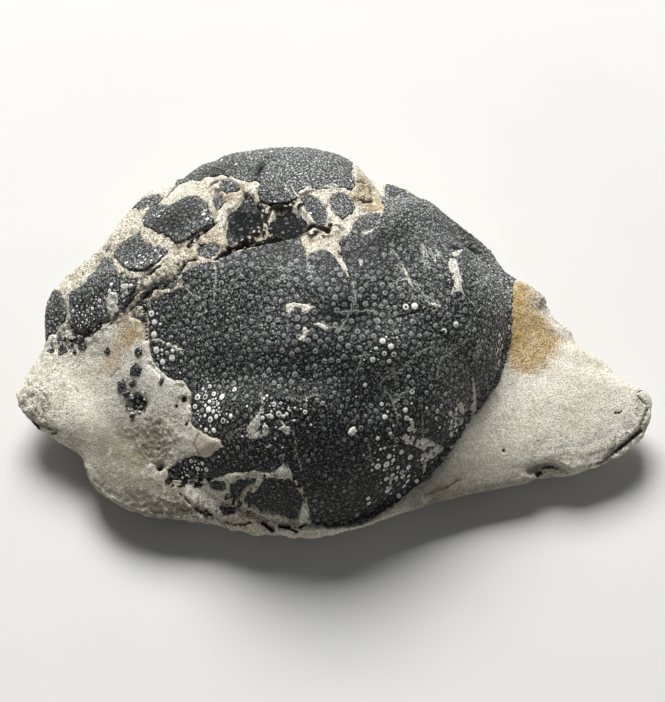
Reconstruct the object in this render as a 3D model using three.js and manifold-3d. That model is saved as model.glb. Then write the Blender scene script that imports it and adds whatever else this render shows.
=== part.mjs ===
// Fossil crab: the upper shell of a crab, broken into plates, in a loose marl nodule.
//
// Millimetres, +Z up. The nodule lies on its flat base at z = 0, with the middle of its
// footprint at the origin. +X runs along the long wing of stone, and +Y towards the front
// edge of the crab. Outlines below are drawn about the crown of the shell.
import * as THREE from 'three';
import { mergeVertices } from 'three/addons/utils/BufferGeometryUtils.js';
import Module from 'manifold-3d';

const wasm = await Module();
wasm.setup();

// ---- Driving dimensions -------------------------------------------------------------

const CROWN = { x: 0, y: 3, z: 30.5 };   // point that the spokes of the form run out from
const SHELL = 1.0;                       // thickness of the crab's shell
const GAP = 0.3;                         // clearance between a plate and the stone under it
const DOME_FULLNESS = 2.3;               // higher keeps the top of the dome flatter
const FOOT_RUN = 0.8;                    // how far the step at the dome's foot runs out
const FOOT_SHARE = 0.3;                  // and the most of the wing that it may take
const WING_FULLNESS = 1.7;               // higher keeps the wing's top flatter
const WING_FALL = 0.75;                  // lower makes its rim blunter
const SPOKES = 60;                       // slices round the crown
const DOME_RINGS = 11;
const WING_RINGS = 4;
const UNDER_RINGS = 4;
const PLATE_FLOOR = 8.4;                 // height at y = 0 below which no shell is left
const PLATE_FLOOR_RISE = 0.075;          // that height's rise per millimetre towards +Y
const ABOVE_ALL = 45;                    // a height clear over the crown
const SLIVER = 0.06;                     // detail smaller than this is joined to its neighbour
const WELD = 1e-5;                       // points nearer than this are one point
const ARC_SAMPLES = 1440;                // steps in which the rim's length is measured

// Widest outline of the nodule: x, y and height.
const RIM = [
  [47.8, -8.1, 8], [47.3, -5.6, 8.5], [44.8, -4, 9], [43.6, -3.2, 9], [40.8, -0.4, 9.5],
  [37.3, 1.7, 10], [35.9, 4, 10.5], [33.6, 6.2, 11], [32, 9.4, 11], [30, 11.7, 11],
  [27.8, 13.1, 10.5], [24.2, 18.6, 10], [17.5, 24.4, 10], [11.4, 29.8, 10], [2.9, 32.2, 10],
  [-5.1, 36.2, 10], [-13.5, 36, 10], [-19.7, 31.5, 10], [-28.5, 29.5, 9.5], [-32.8, 24, 9.5],
  [-35.8, 18.3, 9.5], [-41.3, 13.4, 9.5], [-43.7, 8, 9.5], [-43.7, 2, 9.5], [-45.7, -2, 9],
  [-47.3, -5.5, 9], [-44.3, -10.6, 8], [-38.4, -14.2, 7], [-35.6, -19.7, 6.5], [-30, -23.5, 6.5],
  [-19.8, -25.1, 6.5], [-12.1, -27.2, 7], [-4, -27.7, 7], [3.9, -26.4, 7], [10.9, -23.9, 7],
  [17.6, -21.5, 6.5], [26.2, -19.3, 6], [35.1, -17.5, 6], [42.2, -15.1, 6.5], [46.3, -11.9, 7],
];

// Foot of the dome: x, y, height, how the dome falls to it (low is full, high is hollow),
// and the step down from the dome to the stone outside it.
const DOME_FOOT = [
  [25.9, 0.6, 14.1, 0.6, 1.2], [25.7, 6.9, 15.5, 0.62, 0.8], [23.8, 12, 14.5, 0.65, 0.3],
  [19.6, 17, 13.5, 0.64, 0], [16, 23.5, 13, 0.6, 0], [8.7, 24.3, 12.5, 0.58, 0],
  [2.9, 31.1, 13, 0.55, 0], [-4.9, 33.6, 13, 0.55, 0], [-12.9, 33, 13, 0.55, 0],
  [-20.4, 30.7, 13, 0.55, 0], [-25.7, 26.3, 12.5, 0.6, 0], [-30.4, 22.8, 12, 0.65, 0],
  [-35.3, 17.9, 12, 0.75, 0], [-38.3, 12.7, 12, 0.85, 0], [-44.2, 8.3, 12, 1, 0],
  [-42.3, 3, 11.5, 1.3, 0], [-40.1, -3, 11, 1.6, 0], [-35, -10, 10.5, 1.7, 0],
  [-29, -16, 10, 1.5, 0], [-21.5, -20.5, 9.5, 1, 0], [-14, -24.5, 8.5, 0.7, 0.2],
  [-7, -26.3, 8.3, 0.62, 0.3], [0, -26.4, 8, 0.6, 0.3], [4.5, -25, 8.1, 0.6, 0.4],
  [7.9, -23.1, 8.3, 0.6, 0.5], [11, -21, 8.7, 0.6, 0.6], [13.7, -18.7, 9.2, 0.6, 0.8],
  [16, -16.3, 9.9, 0.6, 1], [18.2, -13.2, 10.8, 0.6, 1.1], [20.2, -10.1, 11.7, 0.6, 1.2],
  [22.4, -7.2, 12.5, 0.6, 1.2], [24.2, -5, 13.1, 0.6, 1.2], [25.2, -1.9, 13.6, 0.6, 1.2],
];

// Flat patch that the nodule rests on.
const BASE = [
  [30, -1], [24, 9], [12, 17], [-4, 20], [-18, 17], [-28, 8], [-30, -3], [-20, -12], [-4, -15],
  [14, -13], [26, -9],
];

// Soft swellings and hollows of the crab's back: middle, reach along and across, turn of
// the long way from +X in degrees, and height.
const SWELLINGS = [
  { at: [-4, 3], reach: [13, 7], turn: 0, height: 0.9 },       // stomach region
  { at: [-14, -10], reach: [7, 3.2], turn: -10, height: -2.2 },  // neck groove, left
  { at: [0, -12.5], reach: [7, 3], turn: 0, height: -1 },      // neck groove, middle
  { at: [7, -13.5], reach: [6, 2.6], turn: 35, height: -1.8 },   // neck groove, right
  { at: [10, -7.5], reach: [6, 4], turn: 25, height: 1.2 },    // lobe in front of it
  { at: [-15, -17], reach: [7, 5], turn: 20, height: 1.3 },    // gill region, left
  { at: [15, -14], reach: [7, 5.5], turn: -30, height: 1.4 },  // gill region, right
  { at: [0, -20], reach: [3.5, 8], turn: 0, height: 0.9 },     // heart region
  { at: [-7, 16], reach: [9, 3.2], turn: 5, height: -1.8 },      // trough behind the front cap
  { at: [20, 4], reach: [7, 9], turn: 0, height: 0.6 },        // liver region, right
];
const SWELLINGS_END = 8;     // height at which they have died away
const SWELLINGS_BLEND = 6;   // height over which they do

// Outlines of the pieces of shell, seen from above. Points past the rim take a piece as far
// down the flank as the shell is left.
const PLATES = {
  carapace_shield: [
    [24, 31], [32, 18], [27.9, 12.2], [27.3, 10], [26.9, 1], [26, -2.1], [25, -5.2], [23.2, -7.6],
    [20.9, -10.5], [18.8, -13.7], [16.5, -16.9], [14.1, -19.4], [11.3, -21.7], [8.2, -23.9],
    [5.3, -25.9], [3.3, -26.6], [-1.1, -27.1], [-3.1, -26.7], [-3.7, -25.3], [-4.2, -24.7],
    [-5, -24], [-5.7, -23.2], [-6.4, -22.6], [-7.2, -22.1], [-8, -22.5], [-9.1, -22.7],
    [-11.2, -22.2], [-13.4, -22], [-15.7, -21.5], [-17.2, -21.4], [-21.7, -20.2], [-24, -20.1],
    [-24.3, -18.9], [-23.4, -18.4], [-22, -18.1], [-20, -18.4], [-18.1, -19.2], [-16, -18.7],
    [-16.5, -17.9], [-18.7, -16.4], [-20.1, -15.1], [-21, -13.7], [-20.7, -12.7], [-21.1, -11.3],
    [-20.9, -9.8], [-21.6, -8.6], [-22.7, -7.7], [-23.6, -7.7], [-24.6, -7], [-26.5, -4.7],
    [-26.9, -3.9], [-27.2, -2.5], [-27.3, 1.9], [-26.8, 2.8], [-21.9, 3.3], [-22.2, 4.3],
    [-22.1, 5.3], [-20.7, 5.9], [-18.2, 6.3], [-17.3, 6], [-16.1, 6.7], [-14.6, 7.3],
    [-10.9, 7.8], [-4.7, 9], [-3.7, 4.7], [-3.4, 5.8], [-2.1, 6.5], [-0.4, 6.5], [2.7, 1.3],
    [1.6, 5.1], [1.1, 8.1], [2.9, 10.7], [3.3, 12.4], [4.2, 14], [5.5, 15.6], [7.4, 14.6],
    [7.7, 17.5], [7.3, 20.8], [8, 25], [8.8, 36],
  ],
  front_cap: [
    [-24, 40], [-24.4, 27], [-25.3, 23], [-23.7, 26.4], [-19.9, 24], [-18.4, 24], [-16.6, 23.6],
    [-15.1, 22.7], [-13.7, 21.5], [-12.3, 21.1], [-11.2, 21], [-10.7, 20.2], [-11.1, 19.1],
    [-10.9, 18], [-10.4, 17], [-9.3, 16.8], [-6.3, 17.1], [-5.3, 17.5], [-5, 18.7], [-4.4, 19],
    [-3, 19.2], [-1.8, 18.9], [0.8, 19.6], [3, 19.5], [3.5, 21.3], [3, 23.9], [3.6, 40],
  ],
  front_left_plate: [
    [-18, 13.1], [-20.3, 12.1], [-22.1, 10.9], [-23.3, 11.4], [-25, 13.5], [-26.1, 14.4],
    [-27.2, 15.8], [-28.4, 17], [-29, 19.1], [-28.7, 21], [-27.9, 22.6], [-26.4, 21.7],
    [-24.8, 20.1], [-21.8, 20.7], [-20.5, 20.2], [-18.6, 17.7], [-18.5, 16.5], [-17.5, 14.7],
  ],
  front_sliver: [
    [-17.1, 16.3], [-17.7, 17.3], [-18, 19], [-17.7, 19.7], [-16.9, 19.8], [-16.4, 18.4],
    [-16.5, 17.1],
  ],
  front_chip: [
    [-16.7, 22.3], [-15.5, 22.2], [-14.4, 21.2], [-14, 20.1], [-14.5, 19.4], [-16, 19.6],
    [-16.9, 20.6], [-17.3, 21.5],
  ],
  gap_chip: [
    [-20.2, 9.4], [-19.6, 10.2], [-18.3, 9.8], [-17.5, 10.1], [-16.8, 9.1], [-17, 8.1],
    [-17.8, 7.4], [-18.8, 7.5], [-19.7, 7.7],
  ],
  side_plate_upper: [
    [-30.4, 16.1], [-29.3, 15.8], [-28, 12.9], [-24.4, 10], [-25.1, 8.9], [-25.7, 8],
    [-27.5, 7.2], [-28.8, 7.6], [-30.1, 8.1], [-32, 11.4], [-33.2, 14], [-32.5, 14.7],
  ],
  side_plate_lower: [
    [-28.9, 5.7], [-29.5, 4.5], [-30.8, 3.2], [-31.7, 2.7], [-35.3, 2.8], [-36.6, 2.5],
    [-38, 2.8], [-39.1, 3.7], [-39.8, 8], [-39.2, 8.4], [-37.9, 8.4], [-36.9, 8.9], [-36.6, 10.2],
    [-35.8, 11.8], [-35.5, 13.9], [-34.8, 14.6], [-33.8, 13.3], [-32.9, 11.3], [-32.1, 8.4],
    [-31.1, 7.2],
  ],
  rim_plate: [
    [-46.5, 12], [-42.5, 10.8], [-41.6, 9.9], [-40.4, 6.5], [-40.1, 5.2], [-40.5, 4.4],
    [-42, 3.2], [-46.5, 2.6],
  ],
  rim_flake: [
    [-31.4, 25.6], [-30.6, 25.7], [-27.2, 22.2], [-26.3, 22.8], [-25.8, 25], [-26.8, 27.4],
    [-29.5, 27.6],
  ],
  sunken_plate_left: [
    [-15.3, 8.8], [-15.8, 9.5], [-16.2, 12.6], [-15.8, 13.8], [-15.9, 15.8], [-14, 17.2],
    [-13.3, 19.1], [-12.4, 19.1], [-12, 18.3], [-11.6, 17.2], [-10.7, 16.2], [-10.4, 14.5],
    [-10.5, 13.1], [-11.2, 11.8], [-12.1, 10.6],
  ],
  sunken_plate_right: [
    [-5.7, 16.5], [-4.7, 15.7], [-4, 14.6], [-3.4, 13], [-3.9, 11.5], [-4.9, 10.6], [-6.1, 10],
    [-7.2, 9.5], [-8.3, 10], [-9.3, 10.7], [-9.9, 11.7], [-9.8, 13.1], [-9.4, 14.5], [-8.4, 15.8],
    [-7, 16.3],
  ],
  middle_chip: [
    [-1.5, 11.7], [-2.3, 12], [-4.3, 16.4], [-4.7, 17.7], [-4.1, 18.2], [-3, 18.1], [-2.1, 17.5],
    [-0.9, 16], [-0.8, 14.1], [-1, 12.3],
  ],
  right_chip: [
    [1.6, 13.1], [0.5, 13.9], [-0.2, 15], [-0.4, 17.1], [0.1, 18], [0.8, 18.6], [1.9, 18.5],
    [3.2, 17.4], [3.5, 16.1], [3.1, 14.7],
  ],
  rear_plate: [
    [-13.2, -24.4], [-12.5, -23.8], [-11.3, -24], [-10.2, -23.3], [-9.1, -23.1], [-8, -23.4],
    [-6.3, -23.5], [-4.3, -25.4], [-4.9, -26.5], [-6.3, -26.4], [-10.6, -25.5],
  ],
  rear_chip: [
    [-15.1, -22.5], [-13.8, -22.7], [-12.5, -22.8], [-11.3, -23], [-11.4, -23.3], [-12.4, -23.3],
    [-13.4, -23.6], [-13.8, -24], [-14.5, -24], [-15.2, -23.3],
  ],
  rear_flake: [
    [-18.3, -21.5], [-16.2, -22], [-15.6, -22.3], [-15.6, -22.8], [-16.2, -22.8], [-17.6, -22.3],
    [-18.2, -21.9],
  ],
};

const STONE_LOOK = { color: 0xc9bda6, roughness: 0.92 };   // dry marl
const SHELL_LOOK = { color: 0x383d42, roughness: 0.55 };   // dark mineralised shell

// ---- The form of the nodule ---------------------------------------------------------

// Reads an outline round the crown: gives, at any angle, its distance from the crown and its
// further values, on one smooth closed curve through the points.
function roundTheCrown(outline) {
  const knots = outline.map(([x, y, ...values]) => {
    const dx = x - CROWN.x;
    const dy = y - CROWN.y;
    return { angle: Math.atan2(dy, dx), values: [Math.hypot(dx, dy), ...values] };
  }).sort((a, b) => a.angle - b.angle);
  const count = knots.length;
  const turn = 2 * Math.PI;
  const knot = (i) => {
    const laps = Math.floor(i / count);
    const { angle, values } = knots[i - laps * count];
    return { angle: angle + laps * turn, values };
  };
  const slope = (i, k) => {
    const [before, here, after] = [knot(i - 1), knot(i), knot(i + 1)];
    const back = here.angle - before.angle;
    const ahead = after.angle - here.angle;
    const backSlope = (here.values[k] - before.values[k]) / back;
    const aheadSlope = (after.values[k] - here.values[k]) / ahead;
    return (backSlope * ahead + aheadSlope * back) / (back + ahead);
  };
  return (angle) => {
    let a = angle;
    while (a < knots[0].angle) a += turn;
    while (a >= knots[0].angle + turn) a -= turn;
    let i = 0;
    while (knot(i + 1).angle <= a) i += 1;
    const [from, to] = [knot(i), knot(i + 1)];
    const span = to.angle - from.angle;
    const t = (a - from.angle) / span;
    return from.values.map((value, k) => value * (1 + 2 * t) * (1 - t) ** 2
      + span * slope(i, k) * t * (1 - t) ** 2
      + to.values[k] * t * t * (3 - 2 * t)
      + span * slope(i + 1, k) * t * t * (t - 1));
  };
}

const rimAt = roundTheCrown(RIM);
const footAt = roundTheCrown(DOME_FOOT);
const baseAt = roundTheCrown(BASE);

function swelling(x, y) {
  let sum = 0;
  for (const { at, reach, turn, height } of SWELLINGS) {
    const dx = x - at[0];
    const dy = y - at[1];
    const c = Math.cos(THREE.MathUtils.degToRad(turn));
    const s = Math.sin(THREE.MathUtils.degToRad(turn));
    const along = (dx * c + dy * s) / reach[0];
    const across = (dy * c - dx * s) / reach[1];
    sum += height * Math.exp(-along * along - across * across);
  }
  return sum;
}

// Ring spacing that crowds towards the outer end, where the surface turns down.
const crowded = (i, rings) => Math.sin((i / rings) * Math.PI / 2) ** 0.9;

// One slice of the nodule from the crown out to the rim and back in under it, as distances
// from the crown and heights.
function slice(angle) {
  const [rim, rimZ] = rimAt(angle);
  const [footRaw, footZ, fall, step] = footAt(angle);
  const foot = Math.min(footRaw, rim - FOOT_RUN);
  const [base] = baseAt(angle);
  const wing = foot + Math.min(FOOT_RUN, FOOT_SHARE * (rim - foot));
  const wingZ = footZ - Math.max(step, 0);
  const points = [];
  for (let i = 0; i <= DOME_RINGS; i += 1) {
    const t = crowded(i, DOME_RINGS);
    points.push([foot * t, footZ + (CROWN.z - footZ) * (1 - t ** DOME_FULLNESS) ** fall]);
  }
  for (let i = 0; i <= WING_RINGS; i += 1) {
    const t = crowded(i, WING_RINGS);
    const z = rimZ + (wingZ - rimZ) * (1 - t ** WING_FULLNESS) ** WING_FALL;
    points.push([wing + (rim - wing) * t, z]);
  }
  for (let i = 1; i <= UNDER_RINGS; i += 1) {
    const t = (i / UNDER_RINGS) * Math.PI / 2;
    points.push([base + (rim - base) * Math.cos(t), rimZ * (1 - Math.sin(t))]);
  }
  return points;
}

// Angles that step evenly along the rim, so that the wings are as finely divided as the dome.
function spokeAngles() {
  const run = [0];
  const place = (i) => {
    const angle = (i / ARC_SAMPLES) * 2 * Math.PI;
    const [r] = rimAt(angle);
    return [r * Math.cos(angle), r * Math.sin(angle)];
  };
  for (let i = 1; i <= ARC_SAMPLES; i += 1) {
    const [x0, y0] = place(i - 1);
    const [x1, y1] = place(i);
    run.push(run[i - 1] + Math.hypot(x1 - x0, y1 - y0));
  }
  const angles = [];
  let i = 0;
  for (let k = 0; k < SPOKES; k += 1) {
    const goal = (k / SPOKES) * run[ARC_SAMPLES];
    while (run[i + 1] < goal) i += 1;
    const part = (goal - run[i]) / (run[i + 1] - run[i]);
    angles.push(((i + part) / ARC_SAMPLES) * 2 * Math.PI);
  }
  return angles;
}

const ANGLES = spokeAngles();

// The nodule's skin as spokes of points; inset draws it in by that much all over.
function skin(inset) {
  const outer = ANGLES.map((angle) => slice(angle).map(([r, z]) => {
    const x = CROWN.x + r * Math.cos(angle);
    const y = CROWN.y + r * Math.sin(angle);
    const keep = THREE.MathUtils.clamp((z - SWELLINGS_END) / SWELLINGS_BLEND, 0, 1);
    return new THREE.Vector3(x, y, z + swelling(x, y) * keep);
  }));
  if (inset === 0) return outer;
  return outer.map((spoke, i) => spoke.map((point, j) => {
    if (j === 0) return point.clone().setZ(point.z - inset);
    const round = outer[(i + 1) % SPOKES][j].clone().sub(outer[(i + SPOKES - 1) % SPOKES][j]);
    const out = spoke[Math.min(j + 1, spoke.length - 1)].clone().sub(spoke[j - 1]);
    const normal = out.cross(round).normalize();
    return point.clone().addScaledVector(normal, -inset);
  }));
}

// ---- Solids -------------------------------------------------------------------------

function toManifold(geometry) {
  const bare = geometry.clone();
  bare.deleteAttribute('normal');
  bare.deleteAttribute('uv');
  const merged = mergeVertices(bare, WELD);
  return new wasm.Manifold(new wasm.Mesh({
    numProp: 3,
    vertProperties: new Float32Array(merged.attributes.position.array),
    triVerts: new Uint32Array(merged.index.array),
  }));
}

// Closes the skin: one point at the crown, and one in the middle of the flat base.
function nodule(inset) {
  const spokes = skin(inset);
  const rings = spokes[0].length;
  const positions = [];
  const indices = [];
  const crown = 0;
  const centre = 1;
  const top = spokes[0][0];
  const baseZ = spokes[0][rings - 1].z;
  positions.push(top.x, top.y, top.z, CROWN.x, CROWN.y, baseZ);
  for (const spoke of spokes) {
    for (let j = 1; j < rings; j += 1) {
      const { x, y, z } = spoke[j];
      positions.push(x, y, j === rings - 1 ? baseZ : z);
    }
  }
  const at = (i, j) => 2 + (i % SPOKES) * (rings - 1) + (j - 1);
  for (let i = 0; i < SPOKES; i += 1) {
    indices.push(crown, at(i, 1), at(i + 1, 1));
    for (let j = 1; j < rings - 1; j += 1) {
      indices.push(at(i, j), at(i, j + 1), at(i + 1, j + 1));
      indices.push(at(i, j), at(i + 1, j + 1), at(i + 1, j));
    }
    indices.push(at(i, rings - 1), centre, at(i + 1, rings - 1));
  }
  const geometry = new THREE.BufferGeometry();
  geometry.setAttribute('position', new THREE.Float32BufferAttribute(positions, 3));
  geometry.setIndex(indices);
  return toManifold(geometry);
}

// Moves every side of an outline outwards by the same distance.
function grown(outline, by) {
  const points = outline.map(([x, y]) => new THREE.Vector2(x, y));
  if (THREE.ShapeUtils.area(points) < 0) points.reverse();
  const count = points.length;
  return points.map((point, i) => {
    const back = point.clone().sub(points[(i + count - 1) % count]).normalize();
    const ahead = points[(i + 1) % count].clone().sub(point).normalize();
    const corner = new THREE.Vector2(back.y + ahead.y, -back.x - ahead.x);
    const reach = by / Math.max(0.5, 1 + back.dot(ahead));
    return point.clone().addScaledVector(corner, reach);
  });
}

// An upright column over an outline, from the slanted floor of the shell to above the crown.
function column(outline, gap) {
  const geometry = new THREE.ExtrudeGeometry(new THREE.Shape(grown(outline, gap)), {
    depth: 1, bevelEnabled: false,
  });
  const position = geometry.attributes.position;
  for (let i = 0; i < position.count; i += 1) {
    const floor = PLATE_FLOOR + PLATE_FLOOR_RISE * position.getY(i) - gap;
    position.setZ(i, position.getZ(i) === 0 ? floor : ABOVE_ALL);
  }
  return toManifold(geometry);
}

function toMesh(solid, name, look) {
  const { numProp, vertProperties, triVerts } = solid.getMesh();
  const geometry = new THREE.BufferGeometry();
  const positions = new Float32Array((vertProperties.length / numProp) * 3);
  for (let i = 0; i < positions.length / 3; i += 1) {
    for (let k = 0; k < 3; k += 1) positions[i * 3 + k] = vertProperties[i * numProp + k];
  }
  geometry.setAttribute('position', new THREE.BufferAttribute(positions, 3));
  geometry.setIndex(new THREE.BufferAttribute(new Uint32Array(triVerts), 1));
  geometry.computeVertexNormals();
  const mesh = new THREE.Mesh(geometry, new THREE.MeshStandardMaterial({ ...look, metalness: 0 }));
  mesh.name = name;
  return mesh;
}

// ---- The object ---------------------------------------------------------------------

const whole = nodule(0);
const underShell = nodule(SHELL);
const bed = nodule(SHELL + GAP);
const group = new THREE.Group();
let stone = whole;

for (const [name, outline] of Object.entries(PLATES)) {
  const plate = column(outline, 0).intersect(whole).subtract(underShell).simplify(SLIVER);
  group.add(toMesh(plate, name, SHELL_LOOK));
  stone = stone.subtract(column(outline, GAP).subtract(bed));
}
group.add(toMesh(stone.simplify(SLIVER), 'matrix', STONE_LOOK));

// The origin is the middle of the footprint, on the resting plane.
const middle = new THREE.Box3().setFromObject(group).getCenter(new THREE.Vector3());
group.position.set(-middle.x, -middle.y, 0);

export default group;
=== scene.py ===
# %% [markdown]
# # A fossil crab in its stone
#
# The object is a loose nodule of dry, cream-grey marl with the back of a crab on it. The
# crab's shell has turned to dark mineral. It is covered with small domed granules, and on its
# front left it has broken into plates with pale stone between them. The nodule lies on the
# flat of its base.
#
# A stone like this could be sculpted by hand or scanned. Here it is grown from a few outlines
# instead, because then every plate, band of stone and granule can be placed on the same form,
# and the form is the one that the CAD model was built on. Sizes are in millimetres until the
# mesh is made.

# %% Load the frame
import math
from functools import partial

import bpy
import numpy as np
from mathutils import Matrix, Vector, noise
from mathutils.geometry import delaunay_2d_cdt
from mathutils.kdtree import KDTree


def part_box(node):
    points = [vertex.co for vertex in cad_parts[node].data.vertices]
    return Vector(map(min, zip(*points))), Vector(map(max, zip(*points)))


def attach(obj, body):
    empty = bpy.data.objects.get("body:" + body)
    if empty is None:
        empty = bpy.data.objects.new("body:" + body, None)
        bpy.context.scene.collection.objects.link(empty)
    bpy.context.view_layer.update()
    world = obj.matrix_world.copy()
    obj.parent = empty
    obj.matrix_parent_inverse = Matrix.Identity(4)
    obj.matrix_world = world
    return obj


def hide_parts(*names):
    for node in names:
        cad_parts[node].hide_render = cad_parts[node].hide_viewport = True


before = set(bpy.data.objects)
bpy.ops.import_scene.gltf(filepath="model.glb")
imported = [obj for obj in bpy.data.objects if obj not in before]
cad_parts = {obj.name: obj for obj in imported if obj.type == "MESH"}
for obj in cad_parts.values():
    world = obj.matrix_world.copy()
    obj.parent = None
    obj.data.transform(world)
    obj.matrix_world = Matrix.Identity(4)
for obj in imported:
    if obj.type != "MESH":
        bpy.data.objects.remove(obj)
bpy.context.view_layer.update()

MM = 0.001
FULL_TURN = 2 * math.pi
rng = np.random.default_rng(23)

# %% [markdown]
# ## The form
#
# The real outline came from a crab's back pressed into mud, and from how the mud later broke.
# The form is a fan of slices round the crown of the shell. Each slice runs over the dome, down
# the small step at its foot, out along the wing of stone to the rim, and in under the stone to
# the flat base. Three closed curves steer all of the slices, and a few soft swellings and
# hollows shape the crab's back.

# %% Outlines that steer the form
CROWN = np.array([0.0, 3.0])
CROWN_HEIGHT = 30.5
DOME_FULLNESS = 2.3      # higher keeps the top of the dome flatter
FOOT_RUN = 0.8           # how far the step at the dome's foot runs out
FOOT_SHARE = 0.3         # and the most of the wing that it may take
WING_FULLNESS = 1.7
WING_FALL = 0.75

# Widest outline of the nodule: x, y and height.
RIM = [
    (47.8, -8.1, 8), (47.3, -5.6, 8.5), (44.8, -4, 9), (43.6, -3.2, 9), (40.8, -0.4, 9.5),
    (37.3, 1.7, 10), (35.9, 4, 10.5), (33.6, 6.2, 11), (32, 9.4, 11), (30, 11.7, 11),
    (27.8, 13.1, 10.5), (24.2, 18.6, 10), (17.5, 24.4, 10), (11.4, 29.8, 10), (2.9, 32.2, 10),
    (-5.1, 36.2, 10), (-13.5, 36, 10), (-19.7, 31.5, 10), (-28.5, 29.5, 9.5), (-32.8, 24, 9.5),
    (-35.8, 18.3, 9.5), (-41.3, 13.4, 9.5), (-43.7, 8, 9.5), (-43.7, 2, 9.5), (-45.7, -2, 9),
    (-47.3, -5.5, 9), (-44.3, -10.6, 8), (-38.4, -14.2, 7), (-35.6, -19.7, 6.5),
    (-30, -23.5, 6.5), (-19.8, -25.1, 6.5), (-12.1, -27.2, 7), (-4, -27.7, 7), (3.9, -26.4, 7),
    (10.9, -23.9, 7), (17.6, -21.5, 6.5), (26.2, -19.3, 6), (35.1, -17.5, 6), (42.2, -15.1, 6.5),
    (46.3, -11.9, 7),
]

# Foot of the dome: x, y, height, how the dome falls to it (low is full, high is hollow), and
# the step down from the dome to the stone outside it.
DOME_FOOT = [
    (25.9, 0.6, 14.1, 0.6, 1.2), (25.7, 6.9, 15.5, 0.62, 0.8), (23.8, 12, 14.5, 0.65, 0.3),
    (19.6, 17, 13.5, 0.64, 0), (16, 23.5, 13, 0.6, 0), (8.7, 24.3, 12.5, 0.58, 0),
    (2.9, 31.1, 13, 0.55, 0), (-4.9, 33.6, 13, 0.55, 0), (-12.9, 33, 13, 0.55, 0),
    (-20.4, 30.7, 13, 0.55, 0), (-25.7, 26.3, 12.5, 0.6, 0), (-30.4, 22.8, 12, 0.65, 0),
    (-35.3, 17.9, 12, 0.75, 0), (-38.3, 12.7, 12, 0.85, 0), (-44.2, 8.3, 12, 1, 0),
    (-42.3, 3, 11.5, 1.3, 0), (-40.1, -3, 11, 1.6, 0), (-35, -10, 10.5, 1.7, 0),
    (-29, -16, 10, 1.5, 0), (-21.5, -20.5, 9.5, 1, 0), (-14, -24.5, 8.5, 0.7, 0.2),
    (-7, -26.3, 8.3, 0.62, 0.3), (0, -26.4, 8, 0.6, 0.3), (4.5, -25, 8.1, 0.6, 0.4),
    (7.9, -23.1, 8.3, 0.6, 0.5), (11, -21, 8.7, 0.6, 0.6), (13.7, -18.7, 9.2, 0.6, 0.8),
    (16, -16.3, 9.9, 0.6, 1), (18.2, -13.2, 10.8, 0.6, 1.1), (20.2, -10.1, 11.7, 0.6, 1.2),
    (22.4, -7.2, 12.5, 0.6, 1.2), (24.2, -5, 13.1, 0.6, 1.2), (25.2, -1.9, 13.6, 0.6, 1.2),
]

# Flat patch that the nodule rests on.
BASE = [
    (30, -1), (24, 9), (12, 17), (-4, 20), (-18, 17), (-28, 8), (-30, -3), (-20, -12), (-4, -15),
    (14, -13), (26, -9),
]

# %% Swellings and hollows of the crab's back
# Middle, reach along and across, turn of the long way from +X in degrees, and height.
SWELLINGS = [
    ((-4, 3), (13, 7), 0, 0.9),          # stomach region
    ((-14, -10), (7, 3.2), -10, -2.2),   # neck groove, left
    ((0, -12.5), (7, 3), 0, -1),         # neck groove, middle
    ((7, -13.5), (6, 2.6), 35, -1.8),    # neck groove, right
    ((10, -7.5), (6, 4), 25, 1.2),       # lobe in front of it
    ((-15, -17), (7, 5), 20, 1.3),       # gill region, left
    ((15, -14), (7, 5.5), -30, 1.4),     # gill region, right
    ((0, -20), (3.5, 8), 0, 0.9),        # heart region
    ((-7, 16), (9, 3.2), 5, -1.8),       # trough behind the front cap
    ((20, 4), (7, 9), 0, 0.6),           # liver region, right
]
SWELLINGS_END = 8        # height at which they have died away
SWELLINGS_BLEND = 6      # height over which they do


def mounds(x, y, places):
    """Adds up soft bell-shaped mounds: (middle, reach, turn, height) each."""
    total = np.zeros(np.shape(x))
    for (mx, my), (along_reach, across_reach), turn, height in places:
        c = math.cos(math.radians(turn))
        s = math.sin(math.radians(turn))
        along = ((x - mx) * c + (y - my) * s) / along_reach
        across = ((y - my) * c - (x - mx) * s) / across_reach
        total = total + height * np.exp(-along * along - across * across)
    return total


# %% Reading a closed curve at any angle
def round_the_crown(outline, angles):
    """Reads an outline at any angle: its distance from the crown and its further values."""
    knots = np.array(outline, float)
    out = knots[:, :2] - CROWN
    turn = np.arctan2(out[:, 1], out[:, 0])
    order = np.argsort(turn)
    values = np.column_stack([np.hypot(out[:, 0], out[:, 1]), knots[:, 2:]])[order]
    turn = turn[order]
    turn = np.concatenate([turn - FULL_TURN, turn, turn + FULL_TURN])
    values = np.tile(values, (3, 1))
    slopes = np.gradient(values, turn, axis=0)
    i = np.searchsorted(turn, angles, side="right") - 1
    span = (turn[i + 1] - turn[i])[:, None]
    t = (angles - turn[i])[:, None] / span
    return (values[i] * (1 + 2 * t) * (1 - t) ** 2 + span * slopes[i] * t * (1 - t) ** 2
            + values[i + 1] * t * t * (3 - 2 * t) + span * slopes[i + 1] * t * t * (t - 1))


def directions(turn):
    """Steps of length 1 towards each angle."""
    return np.column_stack([np.cos(turn), np.sin(turn)])


# %% [markdown]
# ## A chart of the skin
#
# A map maker flattens a dome by giving each place its direction from a middle point and its
# distance from it over the ground. The skin of the stone is flattened the same way, into two
# charts: the top, round the crown, and the underside, round the middle of the base. Plates and
# granules are laid out on the flat chart, where a mesh of triangles is easy to make, and are
# then lifted back on to the form.

# %% A chart
SPOKES = 720
STATIONS = 300
SMOOTHED = 4             # stations round the middle that share one direction
JUST_SHORT = 0.99999     # share of a spoke that still has a station beyond it


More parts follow.
